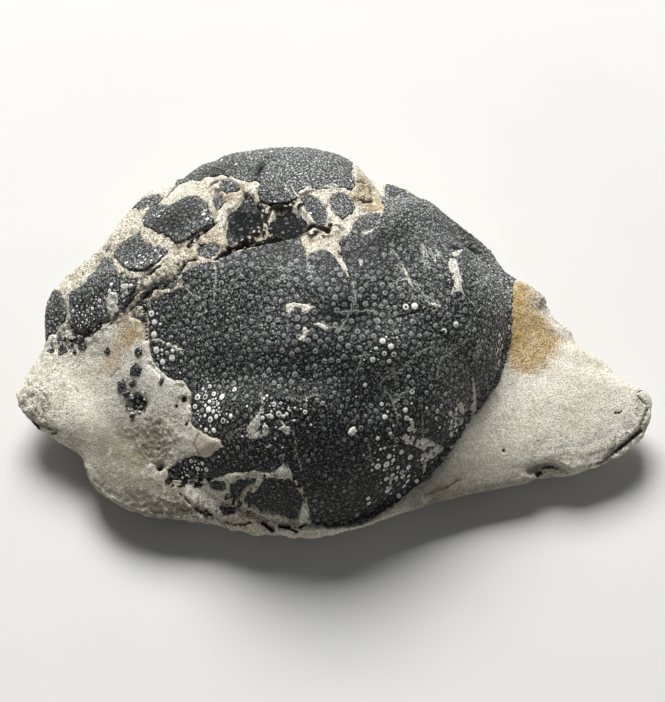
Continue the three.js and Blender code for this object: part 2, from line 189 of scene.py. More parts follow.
class Skin:
    """One side of the nodule as a grid of places and outward directions."""

    def __init__(self, angles, reach, height, facing):
        x = CROWN[0] + reach * np.cos(angles)[:, None]
        y = CROWN[1] + reach * np.sin(angles)[:, None]
        keep = np.clip((height - SWELLINGS_END) / SWELLINGS_BLEND, 0, 1)
        z = height + mounds(x, y, SWELLINGS) * keep
        steps = np.hypot(np.diff(reach, axis=1), np.diff(z, axis=1))
        run = np.hstack([np.zeros((len(angles), 1)), np.cumsum(steps, axis=1)])
        self.length = run[:, -1]
        self.places = np.empty((len(angles), STATIONS, 3))
        for i in range(len(angles)):
            even = np.linspace(0, self.length[i], STATIONS)
            for axis, values in enumerate((x, y, z)):
                self.places[i, :, axis] = np.interp(even, run[i], values[i])
        around = np.roll(self.places, -1, axis=0) - np.roll(self.places, 1, axis=0)
        outward = np.gradient(self.places, axis=1)
        facing_out = facing * np.cross(outward, around)
        facing_out[:, :SMOOTHED] = facing_out[:, SMOOTHED].mean(axis=0)
        facing_out /= np.linalg.norm(facing_out, axis=2, keepdims=True)
        self.grid = np.concatenate([self.places, facing_out], axis=2)

    def spokes_near(self, angle):
        """The two spokes beside each angle, with their shares."""
        spoke = np.mod(angle, FULL_TURN) / FULL_TURN * SPOKES
        i = np.floor(spoke).astype(int)
        part = spoke - i
        return ((i % SPOKES, 1 - part), ((i + 1) % SPOKES, part))

    def read(self, values, angle):
        """Values that are given for each spoke, read at any angle."""
        return sum(values[spoke] * share for spoke, share in self.spokes_near(angle))

    def at(self, chart):
        """Places and outward directions of points on the chart."""
        run = np.hypot(chart[:, 0], chart[:, 1])
        found = np.zeros((len(chart), 6))
        for spoke, share in self.spokes_near(np.arctan2(chart[:, 1], chart[:, 0])):
            station = np.clip(run / self.length[spoke], 0, JUST_SHORT) * (STATIONS - 1)
            j = station.astype(int)
            part = (station - j)[:, None]
            found += share[:, None] * ((1 - part) * self.grid[spoke, j]
                                       + part * self.grid[spoke, j + 1])
        return found[:, :3], found[:, 3:]

    def chart_of(self, plan):
        """Chart points of points seen from above. Past the rim, they stay on it."""
        out = np.asarray(plan, float) - CROWN
        reach = np.hypot(out[:, 0], out[:, 1])
        run = np.zeros(len(out))
        for spoke, share in self.spokes_near(np.arctan2(out[:, 1], out[:, 0])):
            for n, i in enumerate(spoke):
                radii = np.hypot(*(self.places[i, :, :2] - CROWN).T)
                even = np.linspace(0, self.length[i], STATIONS)
                run[n] += share[n] * np.interp(reach[n], radii, even)
        return out / np.maximum(reach, 1e-9)[:, None] * run[:, None]


# %% The top and the underside
DOME_STEPS = 60
WING_STEPS = 40
TUCK_STEPS = 40          # from the rim in to the base
BASE_STEPS = 20
CROWDING = 0.9


def crowded(count):
    """Steps from 0 to 1 that crowd towards 1, where the surface turns down."""
    return np.sin(np.linspace(0, math.pi / 2, count + 1)) ** CROWDING


def make_skins():
    """The top and the underside, from the outlines that steer the form."""
    angles = np.arange(SPOKES) / SPOKES * FULL_TURN
    rim, rim_z = round_the_crown(RIM, angles).T[:, :, None]
    foot, foot_z, fall, step = round_the_crown(DOME_FOOT, angles).T[:, :, None]
    base = round_the_crown(BASE, angles)
    foot = np.minimum(foot, rim - FOOT_RUN)
    wing = foot + np.minimum(FOOT_RUN, FOOT_SHARE * (rim - foot))
    wing_z = foot_z - np.maximum(step, 0)
    dome = crowded(DOME_STEPS)
    flat = crowded(WING_STEPS)
    dome_z = foot_z + (CROWN_HEIGHT - foot_z) * (1 - dome ** DOME_FULLNESS) ** fall
    flat_z = rim_z + (wing_z - rim_z) * (1 - flat ** WING_FULLNESS) ** WING_FALL
    over = Skin(angles, np.hstack([foot * dome, wing + (rim - wing) * flat]),
                np.hstack([dome_z, flat_z]), 1)
    turn = np.linspace(math.pi / 2, 0, TUCK_STEPS)
    middle = np.linspace(0, 1, BASE_STEPS, endpoint=False)
    tucked = np.hstack([base * middle, base + (rim - base) * np.cos(turn)])
    tucked_z = np.hstack([np.zeros((SPOKES, BASE_STEPS)), rim_z * (1 - np.sin(turn))])
    return over, Skin(angles, tucked, tucked_z, -1)


top, under = make_skins()
low = top.places.min(axis=(0, 1))
high = top.places.max(axis=(0, 1))
cad_middle = np.array(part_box("matrix")[0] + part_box("matrix")[1])[:2] / 2 / MM
SHIFT = np.array([*(cad_middle - (low + high)[:2] / 2), 0.0])   # from the drawing to the frame
print("form", (high - low).round(1), "crown", top.places[0, 0].round(2), "shift", SHIFT.round(2))

# %% [markdown]
# ## Plates of shell
#
# The shell of a crab is thin and brittle. When mud pressed on it, the front left broke like an
# egg shell, and the pieces stayed nearly in place. Each piece is an outline on the plan, run
# on to the chart and roughened, because a broken edge is never a clean line.

# %% Outlines of the plates
PLATES = {
    "carapace_shield": [
        (24, 31), (32, 18), (27.9, 12.2), (27.3, 10), (26.9, 1), (26, -2.1), (25, -5.2),
        (23.2, -7.6), (20.9, -10.5), (18.8, -13.7), (16.5, -16.9), (14.1, -19.4), (11.3, -21.7),
        (8.2, -23.9), (5.3, -25.9), (3.3, -26.6), (-1.1, -27.1), (-3.1, -26.7), (-3.7, -25.3),
        (-4.2, -24.7), (-5, -24), (-5.7, -23.2), (-6.4, -22.6), (-7.2, -22.1), (-8, -22.5),
        (-9.1, -22.7), (-11.2, -22.2), (-13.4, -22), (-15.7, -21.5), (-17.2, -21.4),
        (-21.7, -20.2), (-24, -20.1), (-24.3, -18.9), (-23.4, -18.4), (-22, -18.1), (-20, -18.4),
        (-18.1, -19.2), (-16, -18.7), (-16.5, -17.9), (-18.7, -16.4), (-20.1, -15.1),
        (-21, -13.7), (-20.7, -12.7), (-21.1, -11.3), (-20.9, -9.8), (-21.6, -8.6), (-22.7, -7.7),
        (-23.6, -7.7), (-24.6, -7), (-26.5, -4.7), (-26.9, -3.9), (-27.2, -2.5), (-27.3, 1.9),
        (-26.8, 2.8), (-21.9, 3.3), (-22.2, 4.3), (-22.1, 5.3), (-20.7, 5.9), (-18.2, 6.3),
        (-17.3, 6), (-16.1, 6.7), (-14.6, 7.3), (-10.9, 7.8), (-4.7, 9), (-3.7, 4.7), (-3.4, 5.8),
        (-2.1, 6.5), (-0.4, 6.5), (2.7, 1.3), (1.6, 5.1), (1.1, 8.1), (2.9, 10.7), (3.3, 12.4),
        (4.2, 14), (5.5, 15.6), (7.4, 14.6), (7.7, 17.5), (7.3, 20.8), (8, 25), (8.8, 36),
    ],
    "front_cap": [
        (-24, 40), (-24.4, 27), (-25.3, 23), (-23.7, 26.4), (-19.9, 24), (-18.4, 24),
        (-16.6, 23.6), (-15.1, 22.7), (-13.7, 21.5), (-12.3, 21.1), (-11.2, 21), (-10.7, 20.2),
        (-11.1, 19.1), (-10.9, 18), (-10.4, 17), (-9.3, 16.8), (-6.3, 17.1), (-5.3, 17.5),
        (-5, 18.7), (-4.4, 19), (-3, 19.2), (-1.8, 18.9), (0.8, 19.6), (3, 19.5), (3.5, 21.3),
        (3, 23.9), (3.6, 40),
    ],
    "front_left_plate": [
        (-18, 13.1), (-20.3, 12.1), (-22.1, 10.9), (-23.3, 11.4), (-25, 13.5), (-26.1, 14.4),
        (-27.2, 15.8), (-28.4, 17), (-29, 19.1), (-28.7, 21), (-27.9, 22.6), (-26.4, 21.7),
        (-24.8, 20.1), (-21.8, 20.7), (-20.5, 20.2), (-18.6, 17.7), (-18.5, 16.5), (-17.5, 14.7),
    ],
    "front_sliver": [
        (-17.1, 16.3), (-17.7, 17.3), (-18, 19), (-17.7, 19.7), (-16.9, 19.8), (-16.4, 18.4),
        (-16.5, 17.1),
    ],
    "front_chip": [
        (-16.7, 22.3), (-15.5, 22.2), (-14.4, 21.2), (-14, 20.1), (-14.5, 19.4), (-16, 19.6),
        (-16.9, 20.6), (-17.3, 21.5),
    ],
    "gap_chip": [
        (-20.2, 9.4), (-19.6, 10.2), (-18.3, 9.8), (-17.5, 10.1), (-16.8, 9.1), (-17, 8.1),
        (-17.8, 7.4), (-18.8, 7.5), (-19.7, 7.7),
    ],
    "side_plate_upper": [
        (-30.4, 16.1), (-29.3, 15.8), (-28, 12.9), (-24.4, 10), (-25.1, 8.9), (-25.7, 8),
        (-27.5, 7.2), (-28.8, 7.6), (-30.1, 8.1), (-32, 11.4), (-33.2, 14), (-32.5, 14.7),
    ],
    "side_plate_lower": [
        (-28.9, 5.7), (-29.5, 4.5), (-30.8, 3.2), (-31.7, 2.7), (-35.3, 2.8), (-36.6, 2.5),
        (-38, 2.8), (-39.1, 3.7), (-39.8, 8), (-39.2, 8.4), (-37.9, 8.4), (-36.9, 8.9),
        (-36.6, 10.2), (-35.8, 11.8), (-35.5, 13.9), (-34.8, 14.6), (-33.8, 13.3), (-32.9, 11.3),
        (-32.1, 8.4), (-31.1, 7.2),
    ],
    "rim_plate": [
        (-46.5, 12), (-42.5, 10.8), (-41.6, 9.9), (-40.4, 6.5), (-40.1, 5.2), (-40.5, 4.4),
        (-42, 3.2), (-46.5, 2.6),
    ],
    "rim_flake": [
        (-31.4, 25.6), (-30.6, 25.7), (-27.2, 22.2), (-26.3, 22.8), (-25.8, 25), (-26.8, 27.4),
        (-29.5, 27.6),
    ],
    "sunken_plate_left": [
        (-15.3, 8.8), (-15.8, 9.5), (-16.2, 12.6), (-15.8, 13.8), (-15.9, 15.8), (-14, 17.2),
        (-13.3, 19.1), (-12.4, 19.1), (-12, 18.3), (-11.6, 17.2), (-10.7, 16.2), (-10.4, 14.5),
        (-10.5, 13.1), (-11.2, 11.8), (-12.1, 10.6),
    ],
    "sunken_plate_right": [
        (-5.7, 16.5), (-4.7, 15.7), (-4, 14.6), (-3.4, 13), (-3.9, 11.5), (-4.9, 10.6),
        (-6.1, 10), (-7.2, 9.5), (-8.3, 10), (-9.3, 10.7), (-9.9, 11.7), (-9.8, 13.1),
        (-9.4, 14.5), (-8.4, 15.8), (-7, 16.3),
    ],
    "middle_chip": [
        (-1.5, 11.7), (-2.3, 12), (-4.3, 16.4), (-4.7, 17.7), (-4.1, 18.2), (-3, 18.1),
        (-2.1, 17.5), (-0.9, 16), (-0.8, 14.1), (-1, 12.3),
    ],
    "right_chip": [
        (1.6, 13.1), (0.5, 13.9), (-0.2, 15), (-0.4, 17.1), (0.1, 18), (0.8, 18.6), (1.9, 18.5),
        (3.2, 17.4), (3.5, 16.1), (3.1, 14.7),
    ],
    "rear_plate": [
        (-13.2, -24.4), (-12.5, -23.8), (-11.3, -24), (-10.2, -23.3), (-9.1, -23.1), (-8, -23.4),
        (-6.3, -23.5), (-4.3, -25.4), (-4.9, -26.5), (-6.3, -26.4), (-10.6, -25.5),
    ],
    "rear_chip": [
        (-15.1, -22.5), (-13.8, -22.7), (-12.5, -22.8), (-11.3, -23), (-11.4, -23.3),
        (-12.4, -23.3), (-13.4, -23.6), (-13.8, -24), (-14.5, -24), (-15.2, -23.3),
    ],
    "rear_flake": [
        (-18.3, -21.5), (-16.2, -22), (-15.6, -22.3), (-15.6, -22.8), (-16.2, -22.8),
        (-17.6, -22.3), (-18.2, -21.9),
    ],
}

# How each plate has moved: its lift in mm, and its rise per mm towards +X and +Y.
MOVED = {
    "carapace_shield": (0, 0, 0), "front_cap": (0.05, 0, 0),
    "front_left_plate": (0.2, 0.03, -0.05), "front_sliver": (-0.2, 0, 0),
    "front_chip": (-0.15, 0, 0), "gap_chip": (-0.3, 0, 0),
    "side_plate_upper": (0.2, 0.03, -0.07), "side_plate_lower": (0.2, 0, -0.05),
    "rim_plate": (0.05, 0, 0), "rim_flake": (0, 0, 0),
    "sunken_plate_left": (-1.1, 0.02, 0.03), "sunken_plate_right": (-1.35, 0, -0.03),
    "middle_chip": (-0.5, 0, 0.05), "right_chip": (-0.15, 0, 0),
    "rear_plate": (-0.2, 0, 0), "rear_chip": (-0.25, 0, 0), "rear_flake": (-0.2, 0, 0),
}


# %% Broken edges
PLATE_FLOOR = 8.4        # height at y = 0 below which no shell is left
PLATE_FLOOR_RISE = 0.075
EDGE_STEP = 0.3          # spacing of points along a broken edge
ROUGH_EDGES = ((0.9, 0.22), (0.35, 0.07))    # size and depth of the waver of a broken edge
LEAST_APART = (0.6, 0.4)     # against that spacing, before and after an edge is roughened
FINER_WEAKER = 1.0       # how fast the finer swells of a relief weaken
FINER_BY = 2.0           # and how much finer each layer of them is


def fractal(places, size, octaves=3, seed=0.0):
    """Soft random relief from about -1 to 1, with swells of the given size in mm."""
    apart = Vector((seed, 1.7 * seed, -seed))
    return np.array([noise.fractal(Vector((*p, 0.0)[:3]) / size + apart, FINER_WEAKER, FINER_BY,
                                   octaves) for p in places])


def stepped(line, step, closed):
    """The same line with points at most a step apart."""
    ends = np.array(line, float)
    if closed:
        ends = np.vstack([ends, ends[:1]])
    points = []
    for here, there in zip(ends[:-1], ends[1:]):
        count = max(1, int(np.linalg.norm(there - here) / step))
        points.extend(here + (there - here) * n / count for n in range(count))
    if not closed:
        points.append(ends[-1])
    return np.array(points)


def roughened(chart, waver):
    """A line with each size of waver laid on it."""
    moved = np.array(chart)
    for seed, (size, depth) in enumerate(waver):
        flat = np.column_stack([chart, np.full(len(chart), 7.0 * seed)])
        moved[:, 0] += depth * fractal(flat, size, 2, 3.1)
        moved[:, 1] += depth * fractal(flat, size, 2, 8.4)
    return moved


def spaced(chart, least):
    """Leaves out points of a closed line that are nearer than that to the one before."""
    kept = [chart[0]]
    for point in chart[1:]:
        if np.linalg.norm(point - kept[-1]) >= least:
            kept.append(point)
    if np.linalg.norm(kept[-1] - kept[0]) < least:
        kept.pop()
    return np.array(kept)


def anticlockwise(edge):
    """The same closed line, run anticlockwise."""
    following = np.roll(edge, -1, axis=0)
    area = np.sum(edge[:, 0] * following[:, 1] - edge[:, 1] * following[:, 0])
    return edge if area > 0 else edge[::-1]


# %% Edges of the plates on the chart
def shell_floor_run():
    """Along each spoke, how far from the crown the shell can reach down the flank."""
    places = top.places
    high_enough = places[:, :, 2] >= PLATE_FLOOR + PLATE_FLOOR_RISE * places[:, :, 1]
    last = STATIONS - 1 - np.argmax(high_enough[:, ::-1], axis=1)
    return last / (STATIONS - 1) * top.length


FLOOR_RUN = shell_floor_run()


def broken_edge(outline, waver=ROUGH_EDGES):
    """An outline on the plan as a rough closed line on the chart."""
    chart = top.chart_of(stepped(outline, EDGE_STEP, True))
    limit = top.read(FLOOR_RUN, np.arctan2(chart[:, 1], chart[:, 0]))
    chart *= np.minimum(1, limit / np.hypot(chart[:, 0], chart[:, 1]))[:, None]
    before, after = LEAST_APART
    chart = roughened(spaced(chart, EDGE_STEP * before), waver)
    return anticlockwise(spaced(chart, EDGE_STEP * after))


EDGES = {name: broken_edge(outline) for name, outline in PLATES.items()}
print("edges", {name: len(edge) for name, edge in EDGES.items()})

# %% [markdown]
# ## From flat points to a solid plate
#
# Points scattered on the chart are joined by a Delaunay triangulation, which keeps the broken
# edge as it is and makes the best-shaped triangles in between. That gives the outer face. A
# wall drops from its edge, and a coarse inner face closes it.


# %% Points inside, clear of others, and evenly spread
def enclosed(points, starts, ends):
    """True for each point that the sides go round, by counting the sides it looks across."""
    hit = np.zeros(len(points), bool)
    x, y = points[:, 0], points[:, 1]
    for (x0, y0), (x1, y1) in zip(starts, ends):
        if y0 != y1:
            crosses = (y0 > y) != (y1 > y)
            hit ^= crosses & (x < x0 + (y - y0) * (x1 - x0) / (y1 - y0))
    return hit


def inside(points, loop):
    """True for each point inside a closed line."""
    return enclosed(points, loop, np.roll(loop, -1, axis=0))


def tree_of(points):
    """A search tree that finds the nearest of many points quickly."""
    tree = KDTree(len(points))
    for n, point in enumerate(points):
        tree.insert((*point, 0.0)[:3], n)
    tree.balance()
    return tree


def distances(points, others):
    """How far each point is from the nearest of the others."""
    tree = tree_of(others)
    return np.array([tree.find((*p, 0.0)[:3])[2] for p in points])


def clear_of(points, others, least):
    """True for each point that has none of the others nearer than that."""
    return distances(points, others) >= least


def honeycomb(loop, spacing):
    """Evenly spaced points over the box round a closed line."""
    low, high = loop.min(axis=0), loop.max(axis=0)
    xs = np.arange(low[0], high[0], spacing)
    ys = np.arange(low[1], high[1], spacing * math.sqrt(3) / 2)
    grid = np.array(np.meshgrid(xs, ys)).transpose(1, 2, 0)
    grid[1::2, :, 0] += spacing / 2
    return grid.reshape(-1, 2)


def filling(loop, spacing):
    """Evenly spaced points inside a closed line."""
    grid = honeycomb(loop, spacing)
    return grid[inside(grid, loop)]


# %% Triangles
def joined(points, sides, nearest):
    """Joins points into triangles that keep the sides given."""
    flat, _, faces, origins, _, _ = delaunay_2d_cdt(
        [Vector(p) for p in points.tolist()], sides, [], 0, nearest, True)
    return np.array([tuple(p) for p in flat]), np.array(faces), origins


def triangulated(points, loop_count):
    """Triangles inside the closed line that the first points make, their points, and the
    number that each point had before."""
    sides = [(n, (n + 1) % loop_count) for n in range(loop_count)]
    flat, faces, origins = joined(points, sides, 1e-5)
    source = np.array([origin[0] if origin else -1 for origin in origins])
    if source.min() < 0:
        tree = tree_of(points)
        for n in np.flatnonzero(source < 0):
            source[n] = tree.find((*flat[n], 0.0))[1]
    faces = faces[inside(flat[faces].mean(axis=1), points[:loop_count])]
    used, faces = np.unique(faces, return_inverse=True)
    return flat[used], faces.reshape(-1, 3), source[used]


def boundary(faces):
    """Directed sides that only one triangle uses."""
    sides = np.concatenate([faces[:, [0, 1]], faces[:, [1, 2]], faces[:, [2, 0]]])
    known = {tuple(side) for side in sides.tolist()}
    return [(a, b) for a, b in known if (b, a) not in known]


def walls_down(sides, below):
    """Two triangles from each side down to the points below its ends."""
    walls = []
    for a, b in sides:
        walls += [(b, a, below[a]), (b, below[a], below[b])]
    return np.array(walls)


def closed_below(flat, faces, spacing):
    """Adds a wall and a coarse inner face. Returns the inner points and all new triangles,
    which count the inner points on from the outer ones."""
    sides = boundary(faces)
    rim = sorted({vertex for side in sides for vertex in side})
    number = {vertex: n for n, vertex in enumerate(rim)}
    filler = honeycomb(flat[rim], spacing)
    filler = filler[clear_of(filler, flat[rim], spacing * 0.6)]
    edges = [(number[a], number[b]) for a, b in sides]
    found, inner, origins = joined(np.vstack([flat[rim], filler]), edges, 1e-6)
    starts, ends = flat[np.array(sides)].transpose(1, 0, 2)
    inner = inner[enclosed(found[inner].mean(axis=1), starts, ends)]
    where = {origin[0]: n for n, origin in enumerate(origins) if origin}
    below = {vertex: len(flat) + where[number[vertex]] for vertex in rim}
    return found, walls_down(sides, below), inner[:, ::-1] + len(flat)


# %% [markdown]
# ## Granules
#
# A living crab of this kind has a warty back: low, domed granules, the larger ones about
# 0.9 mm apart with smaller ones between. On the fossil many have worn to a pale ring round a
# small pit, and some are worn through to white. Bumps in a texture would look flat in a raking
# light, so each granule is real mesh: a top point, a shoulder ring and a foot ring. Seeded
# darts place them, large ones first and small ones in the gaps.

# %% Where granules are worn, smooth or single
# Soft mounds again: middle, reach, turn, and share of the granules.
WORN_WHITE = [
    ((-18.1, -13.6), (2.4, 3.1), 0, 1.0), ((-8, -16), (3.2, 1.6), 0, 0.65),
    ((-20.9, -19.4), (2.6, 0.9), 0, 0.85), ((-26.4, 0), (0.9, 3), 0, 0.6),
    ((-24.5, -4.9), (2.4, 1.4), -30, 0.7), ((7.6, -8.4), (2.2, 1.7), 0, 0.5),
    ((17.4, -12.9), (2.4, 1.5), 30, 0.35), ((9.2, -20.3), (3.8, 2), 15, 0.6),
    ((25.1, -1.5), (0.8, 3.4), 0, 0.8), ((-27.8, 9.2), (2.6, 1.2), 0, 0.9),
    ((-36.6, 4.1), (2.8, 1.3), 0, 0.75), ((-26, 18.7), (1.8, 1), 0, 0.55),
    ((-18.6, 14.5), (0.8, 1.6), 0, 0.6), ((13.1, -15.2), (8, 4), 0, 0.08),
    ((18.4, -12.5), (2, 0.7), 42, 0.9), ((-33.6, 4), (2, 1.2), 0, 0.5),
]
RINGED = [
    ((-4, -3), (21, 12), 0, 1.0), ((14, -5.4), (12, 9), 0, 0.7), ((-24, 12.2), (14, 8), 0, 0.3),
]
SMOOTH = [
    ((-0.6, -19.8), (3.4, 6.5), 0, 0.95), ((-4, -11.5), (11, 2), 0, 0.35),
]
BIG_WHITE = [
    (7.2, -7.4), (6.2, -6.9), (8.4, -8), (7.2, -6.2), (10.6, -1.8), (11.9, -1.5), (16.2, -4),
    (18, -2.6), (-27, 2.6), (-26.7, 1.3), (-26.2, 0.1), (-26.3, -1.4), (-26, -3.4), (-25, -5.1),
    (-23.6, -5), (-26, -5.3), (-19.8, -10.8), (-18.6, -11.1), (-18.9, -12.1), (-18.1, -13.3),
    (-16.1, -12), (-17.8, -14.9), (-15.9, -15.8), (6.6, -21.3), (7.9, -20.8),
]

# %% Dust and painted light on the shell
DUST_AND_LIGHT_ALONG = ([-26, -19, -12, -7, 0, 8, 20], [0, 0, 0.14, 0.3, 0.3, 0.52, 0.72])   # y, dust and painted light
# More or less dust and painted light than the usual for that y; below 0 it is painted shade,
# as on the sunken plates and in hollows: middle, reach, turn, and how much.
DUST_AND_LIGHT_PATCHES = [
    ((-6, 26), (14, 6), 0, 0.18), ((16, 17), (9, 5), -35, 0.15), ((13.5, 13.6), (1.4, 1), 0, 0.5),
    ((18.3, 13.7), (2.4, 1.6), -30, 0.35), ((24, 7), (3, 5), 0, 0.35),
    ((13.6, 7), (0.9, 1.8), 0, 0.4), ((15.2, 7.6), (0.6, 1.4), 0, 0.4),
    ((23.3, 5.5), (2.4, 1.2), 20, 0.4), ((7, 11.9), (2, 2), 0, 0.15),
    ((14.1, 2.1), (6, 4), 0, 0.12), ((-19, -8.2), (2.6, 1.4), -45, 0.4),
    ((-16, -3.4), (4.6, 2.4), -10, -0.28), ((-3.6, -3.6), (6, 2.6), 0, -0.3),
    ((-13.3, 13.6), (3.2, 5), 0, -1.25), ((-6.9, 12.8), (4, 3.6), 0, -1.9),
    ((9.6, -0.9), (2.6, 2), 0, -0.12), ((17.1, -12.6), (5, 4), 0, -0.1),
    ((-24, 12), (8, 6), 0, -0.1), ((-8, -16), (5, 3), 0, -0.06), ((-17, 24.5), (5, 2.6), 0, -0.6),
    ((-23.5, 16.5), (5, 4), 0, -0.6), ((9, 10.5), (6, 4), 0, -0.48),
    ((19, 17), (4, 5), -30, -0.85), ((3, -2.5), (4, 3), 0, -0.45), ((14, -3), (5, 3), 0, -0.15),
    ((-12.5, -4.2), (6, 2.2), 0, 0.3), ((-4, -8), (6, 2), 0, -0.25),
    ((-24.5, 16.5), (5, 3.4), 0, -0.22), ((3.5, 5.5), (8, 4.5), 0, -0.45),
    ((-19, 1), (6, 6), 0, 0.25), ((-11, -18), (5, 4), 0, 0.15), ((9, -12.5), (5, 3), 0, 0.15),
    ((19, -11.5), (3, 3), 0, 0.25), ((-10.8, 23.6), (0.7, 2.6), -15, -1.2),
    ((-8.8, 26.8), (1.2, 0.5), 0, -0.9), ((-11, 6), (5, 3), 0, -0.3),
    ((-3.3, -9.6), (5, 2), 0, -0.25), ((2.7, -3.9), (5, 3), 0, -0.3),
    ((17.4, -8), (3, 4), 0, 0.2), ((18.3, 11.3), (1.6, 0.6), 45, -1.0),
    ((20.8, 15.5), (1.6, 1.2), 60, -1.1), ((23.4, 0.5), (2.4, 6), 0, 0.22),
    ((21, -9), (3, 4), -20, 0.15), ((-16.5, 27), (5, 2), 30, -0.12),
    ((-33.5, 3.8), (2.6, 2), 0, 0.5), ((-8, 20.4), (8, 1), 0, -0.2),
    ((15.5, 17.5), (3, 2.4), -30, 0.35),
]

# %% Fine lines on the shell
# Pale veins, on the plan.
HAIRLINES = [
    [(-2, -5.2), (1.8, -6)], [(1.2, -3.4), (6, -2.9)], [(8.3, -11.4), (9.7, -10.5), (11.4, -9.2)],
    [(11.5, -8.8), (14.7, -6.3)],
    [(9.3, -17.1), (9.5, -15.7), (8.7, -14.3), (9.7, -13.2), (12, -12.2)],
    [(8.8, -13.9), (7.4, -12.4)], [(15.1, -10), (15.3, -8.6), (16.3, -7), (18.6, -5.1)],
    [(5.1, -19.4), (5.5, -20.2), (5.9, -21.2)], [(-15.1, -18.3), (-13.9, -17.5), (-12.3, -17.7)],
    [(-10.2, -14.1), (-10.1, -15.9), (-10.5, -16.5)], [(-5.5, -19), (-5.2, -21), (-4.6, -22.6)],
    [(-6.5, -14.6), (-4.6, -15.1), (-2.1, -14.6)], [(-17.2, 5.8), (-17.1, 3.2), (-17.3, 0.6)],
    [(13.1, -15.1), (13.4, -17.4), (13.5, -18.8)], [(4.3, 10.1), (5.8, 10.9), (6.7, 11.7)],
    [(-11.5, 20), (-10.9, 18), (-10.4, 17.1)], [(4.6, -8.9), (3.5, -11.3)],
    [(21.4, -3.3), (21.2, -5.9)], [(-4, 6), (-3.5, 3.9), (-3, 1.6)],
    [(2.7, 1.3), (3.4, -1), (3, -3)], [(-21.5, 3), (-19.8, 1.4)], [(13.3, 10), (14, 7.5)],
    [(14.3, 9.1), (15.2, 6.3)], [(15.2, 9.9), (15.9, 7.8)],
    [(20.8, 4.6), (22.4, 6.1), (24.2, 9.7)], [(22, 4.4), (23.1, 7.1)],
    [(16.5, -6.2), (17.9, -5.1), (19.4, -4.3)], [(6.9, -12), (8.5, -10.9), (10, -10.5)],
    [(8.7, 7.4), (9.7, 6)], [(20.1, 1.7), (21.4, 0.7)], [(24.9, 4.7), (25.5, 1)],
    [(1.1, -6.2), (2.5, -3.3), (2.9, -1.6)], [(21.7, -3.7), (21.4, -5)],
    [(10.3, 4.8), (10.7, 3.6), (11.3, 2.5), (12.4, 1.6), (13.2, 0.7), (14.4, -0.1), (15.7, -0.9)],
    [(8.8, 1.5), (9.7, 2), (10.8, 2.6)], [(9.4, 4.8), (10, 4.2)],
    [(14.1, 0.3), (15, -0.6), (14.1, -1.5)], [(13.1, 9.7), (13.2, 8.4), (13.3, 7.1)],
    [(15.1, 10.3), (15.5, 7.8)], [(13.2, 6.6), (14.2, 4.9)],
    [(-7.2, 20.1), (-6.3, 18.6), (-5.9, 17.8)], [(-5.2, 17.9), (-4.8, 18.8)],
]
# Dark cracks.
SHELL_CRACKS = [
    [(17.1, 9.9), (18, 11.5), (19.3, 12.6), (20.2, 14.5), (21, 17.5)],
    [(20, 0.9), (21.3, 0.6), (22.5, -0.2)], [(9.4, -3.4), (12.7, -2), (16.2, -0.5)],
    [(9.3, -17.3), (10.1, -18)],
    [(-12.1, 21.3), (-11, 22.7), (-10.4, 24.5), (-9.7, 26.6), (-8.8, 26.8)],
    [(-2.8, 0.6), (-1.8, -1.2), (-1.4, -2.6)], [(-3.6, -0.4), (-2.6, -1.6)],
    [(-8, -14.8), (-6, -15.6), (-5.2, -17.4)], [(15.6, -4.3), (16.8, -4.6), (17.4, -5.2)],
    [(20.7, -4.1), (20.4, -5.8), (21, -6.7), (20.9, -7.9)],
    [(-2.8, -15), (-3.1, -15.8), (-3.3, -16.5), (-3.7, -17.3), (-4.4, -17.8)],
    [(17.2, 10.4), (18, 11.9), (19.3, 13), (21.3, 13.6)],
    [(19.8, 1.5), (20.1, 0.5), (21, -0.1), (21.9, -0.3)],
    [(15.3, -4.5), (16.6, -4.7), (17.9, -4.9), (19, -5.1)],
]

# %% Scattering granules
GRANULE = 0.44           # radius of a large one on the main shield
GRANULE_GAP = 0.06       # least space between two
GRANULE_TO_EDGE = 0.12
SHARE_THROWN = [0, 0.05, 0.09, 0.3, 1]       # as more darts are thrown,
SIZE_THEN = [1.1, 0.95, 0.7, 0.48, 0.38]     # granules get smaller against a large one
BIG_SIZE = 1.35          # size of the single ones
SIZE_LUCK = (0.88, 0.24)     # against that size: the least, and how much more luck gives
SMOOTH_SMALLER = 0.3     # share that granules lose where the shell is smooth
DARTS_PER_MM2 = 26
HASH_CELL = 1.2          # wider than two large granules side by side


def by_luck(spread, luck):
    """The least value, with as much more as luck from 0 to 1 gives."""
    least, more = spread
    return least + more * luck


def skin_to_chart(chart):
    """Matrices that turn an offset in mm on the skin into an offset on the chart, so that a
    round granule stays round where the chart is stretched."""
    step = 0.15
    along = []
    for way in ((step, 0), (0, step)):
        ahead, _ = top.at(chart + way)
        back, _ = top.at(chart - way)
        along.append((ahead - back) / (2 * step))
    a = np.sum(along[0] ** 2, axis=1)
    b = np.sum(along[0] * along[1], axis=1)
    d = np.sum(along[1] ** 2, axis=1)
    root = np.sqrt(np.maximum(a * d - b * b, 1e-6))
    scale = np.sqrt(a + d + 2 * root)
    stretch = np.array([[a + root, b], [b, d + root]]) / scale
    return np.linalg.inv(stretch.transpose(2, 0, 1))


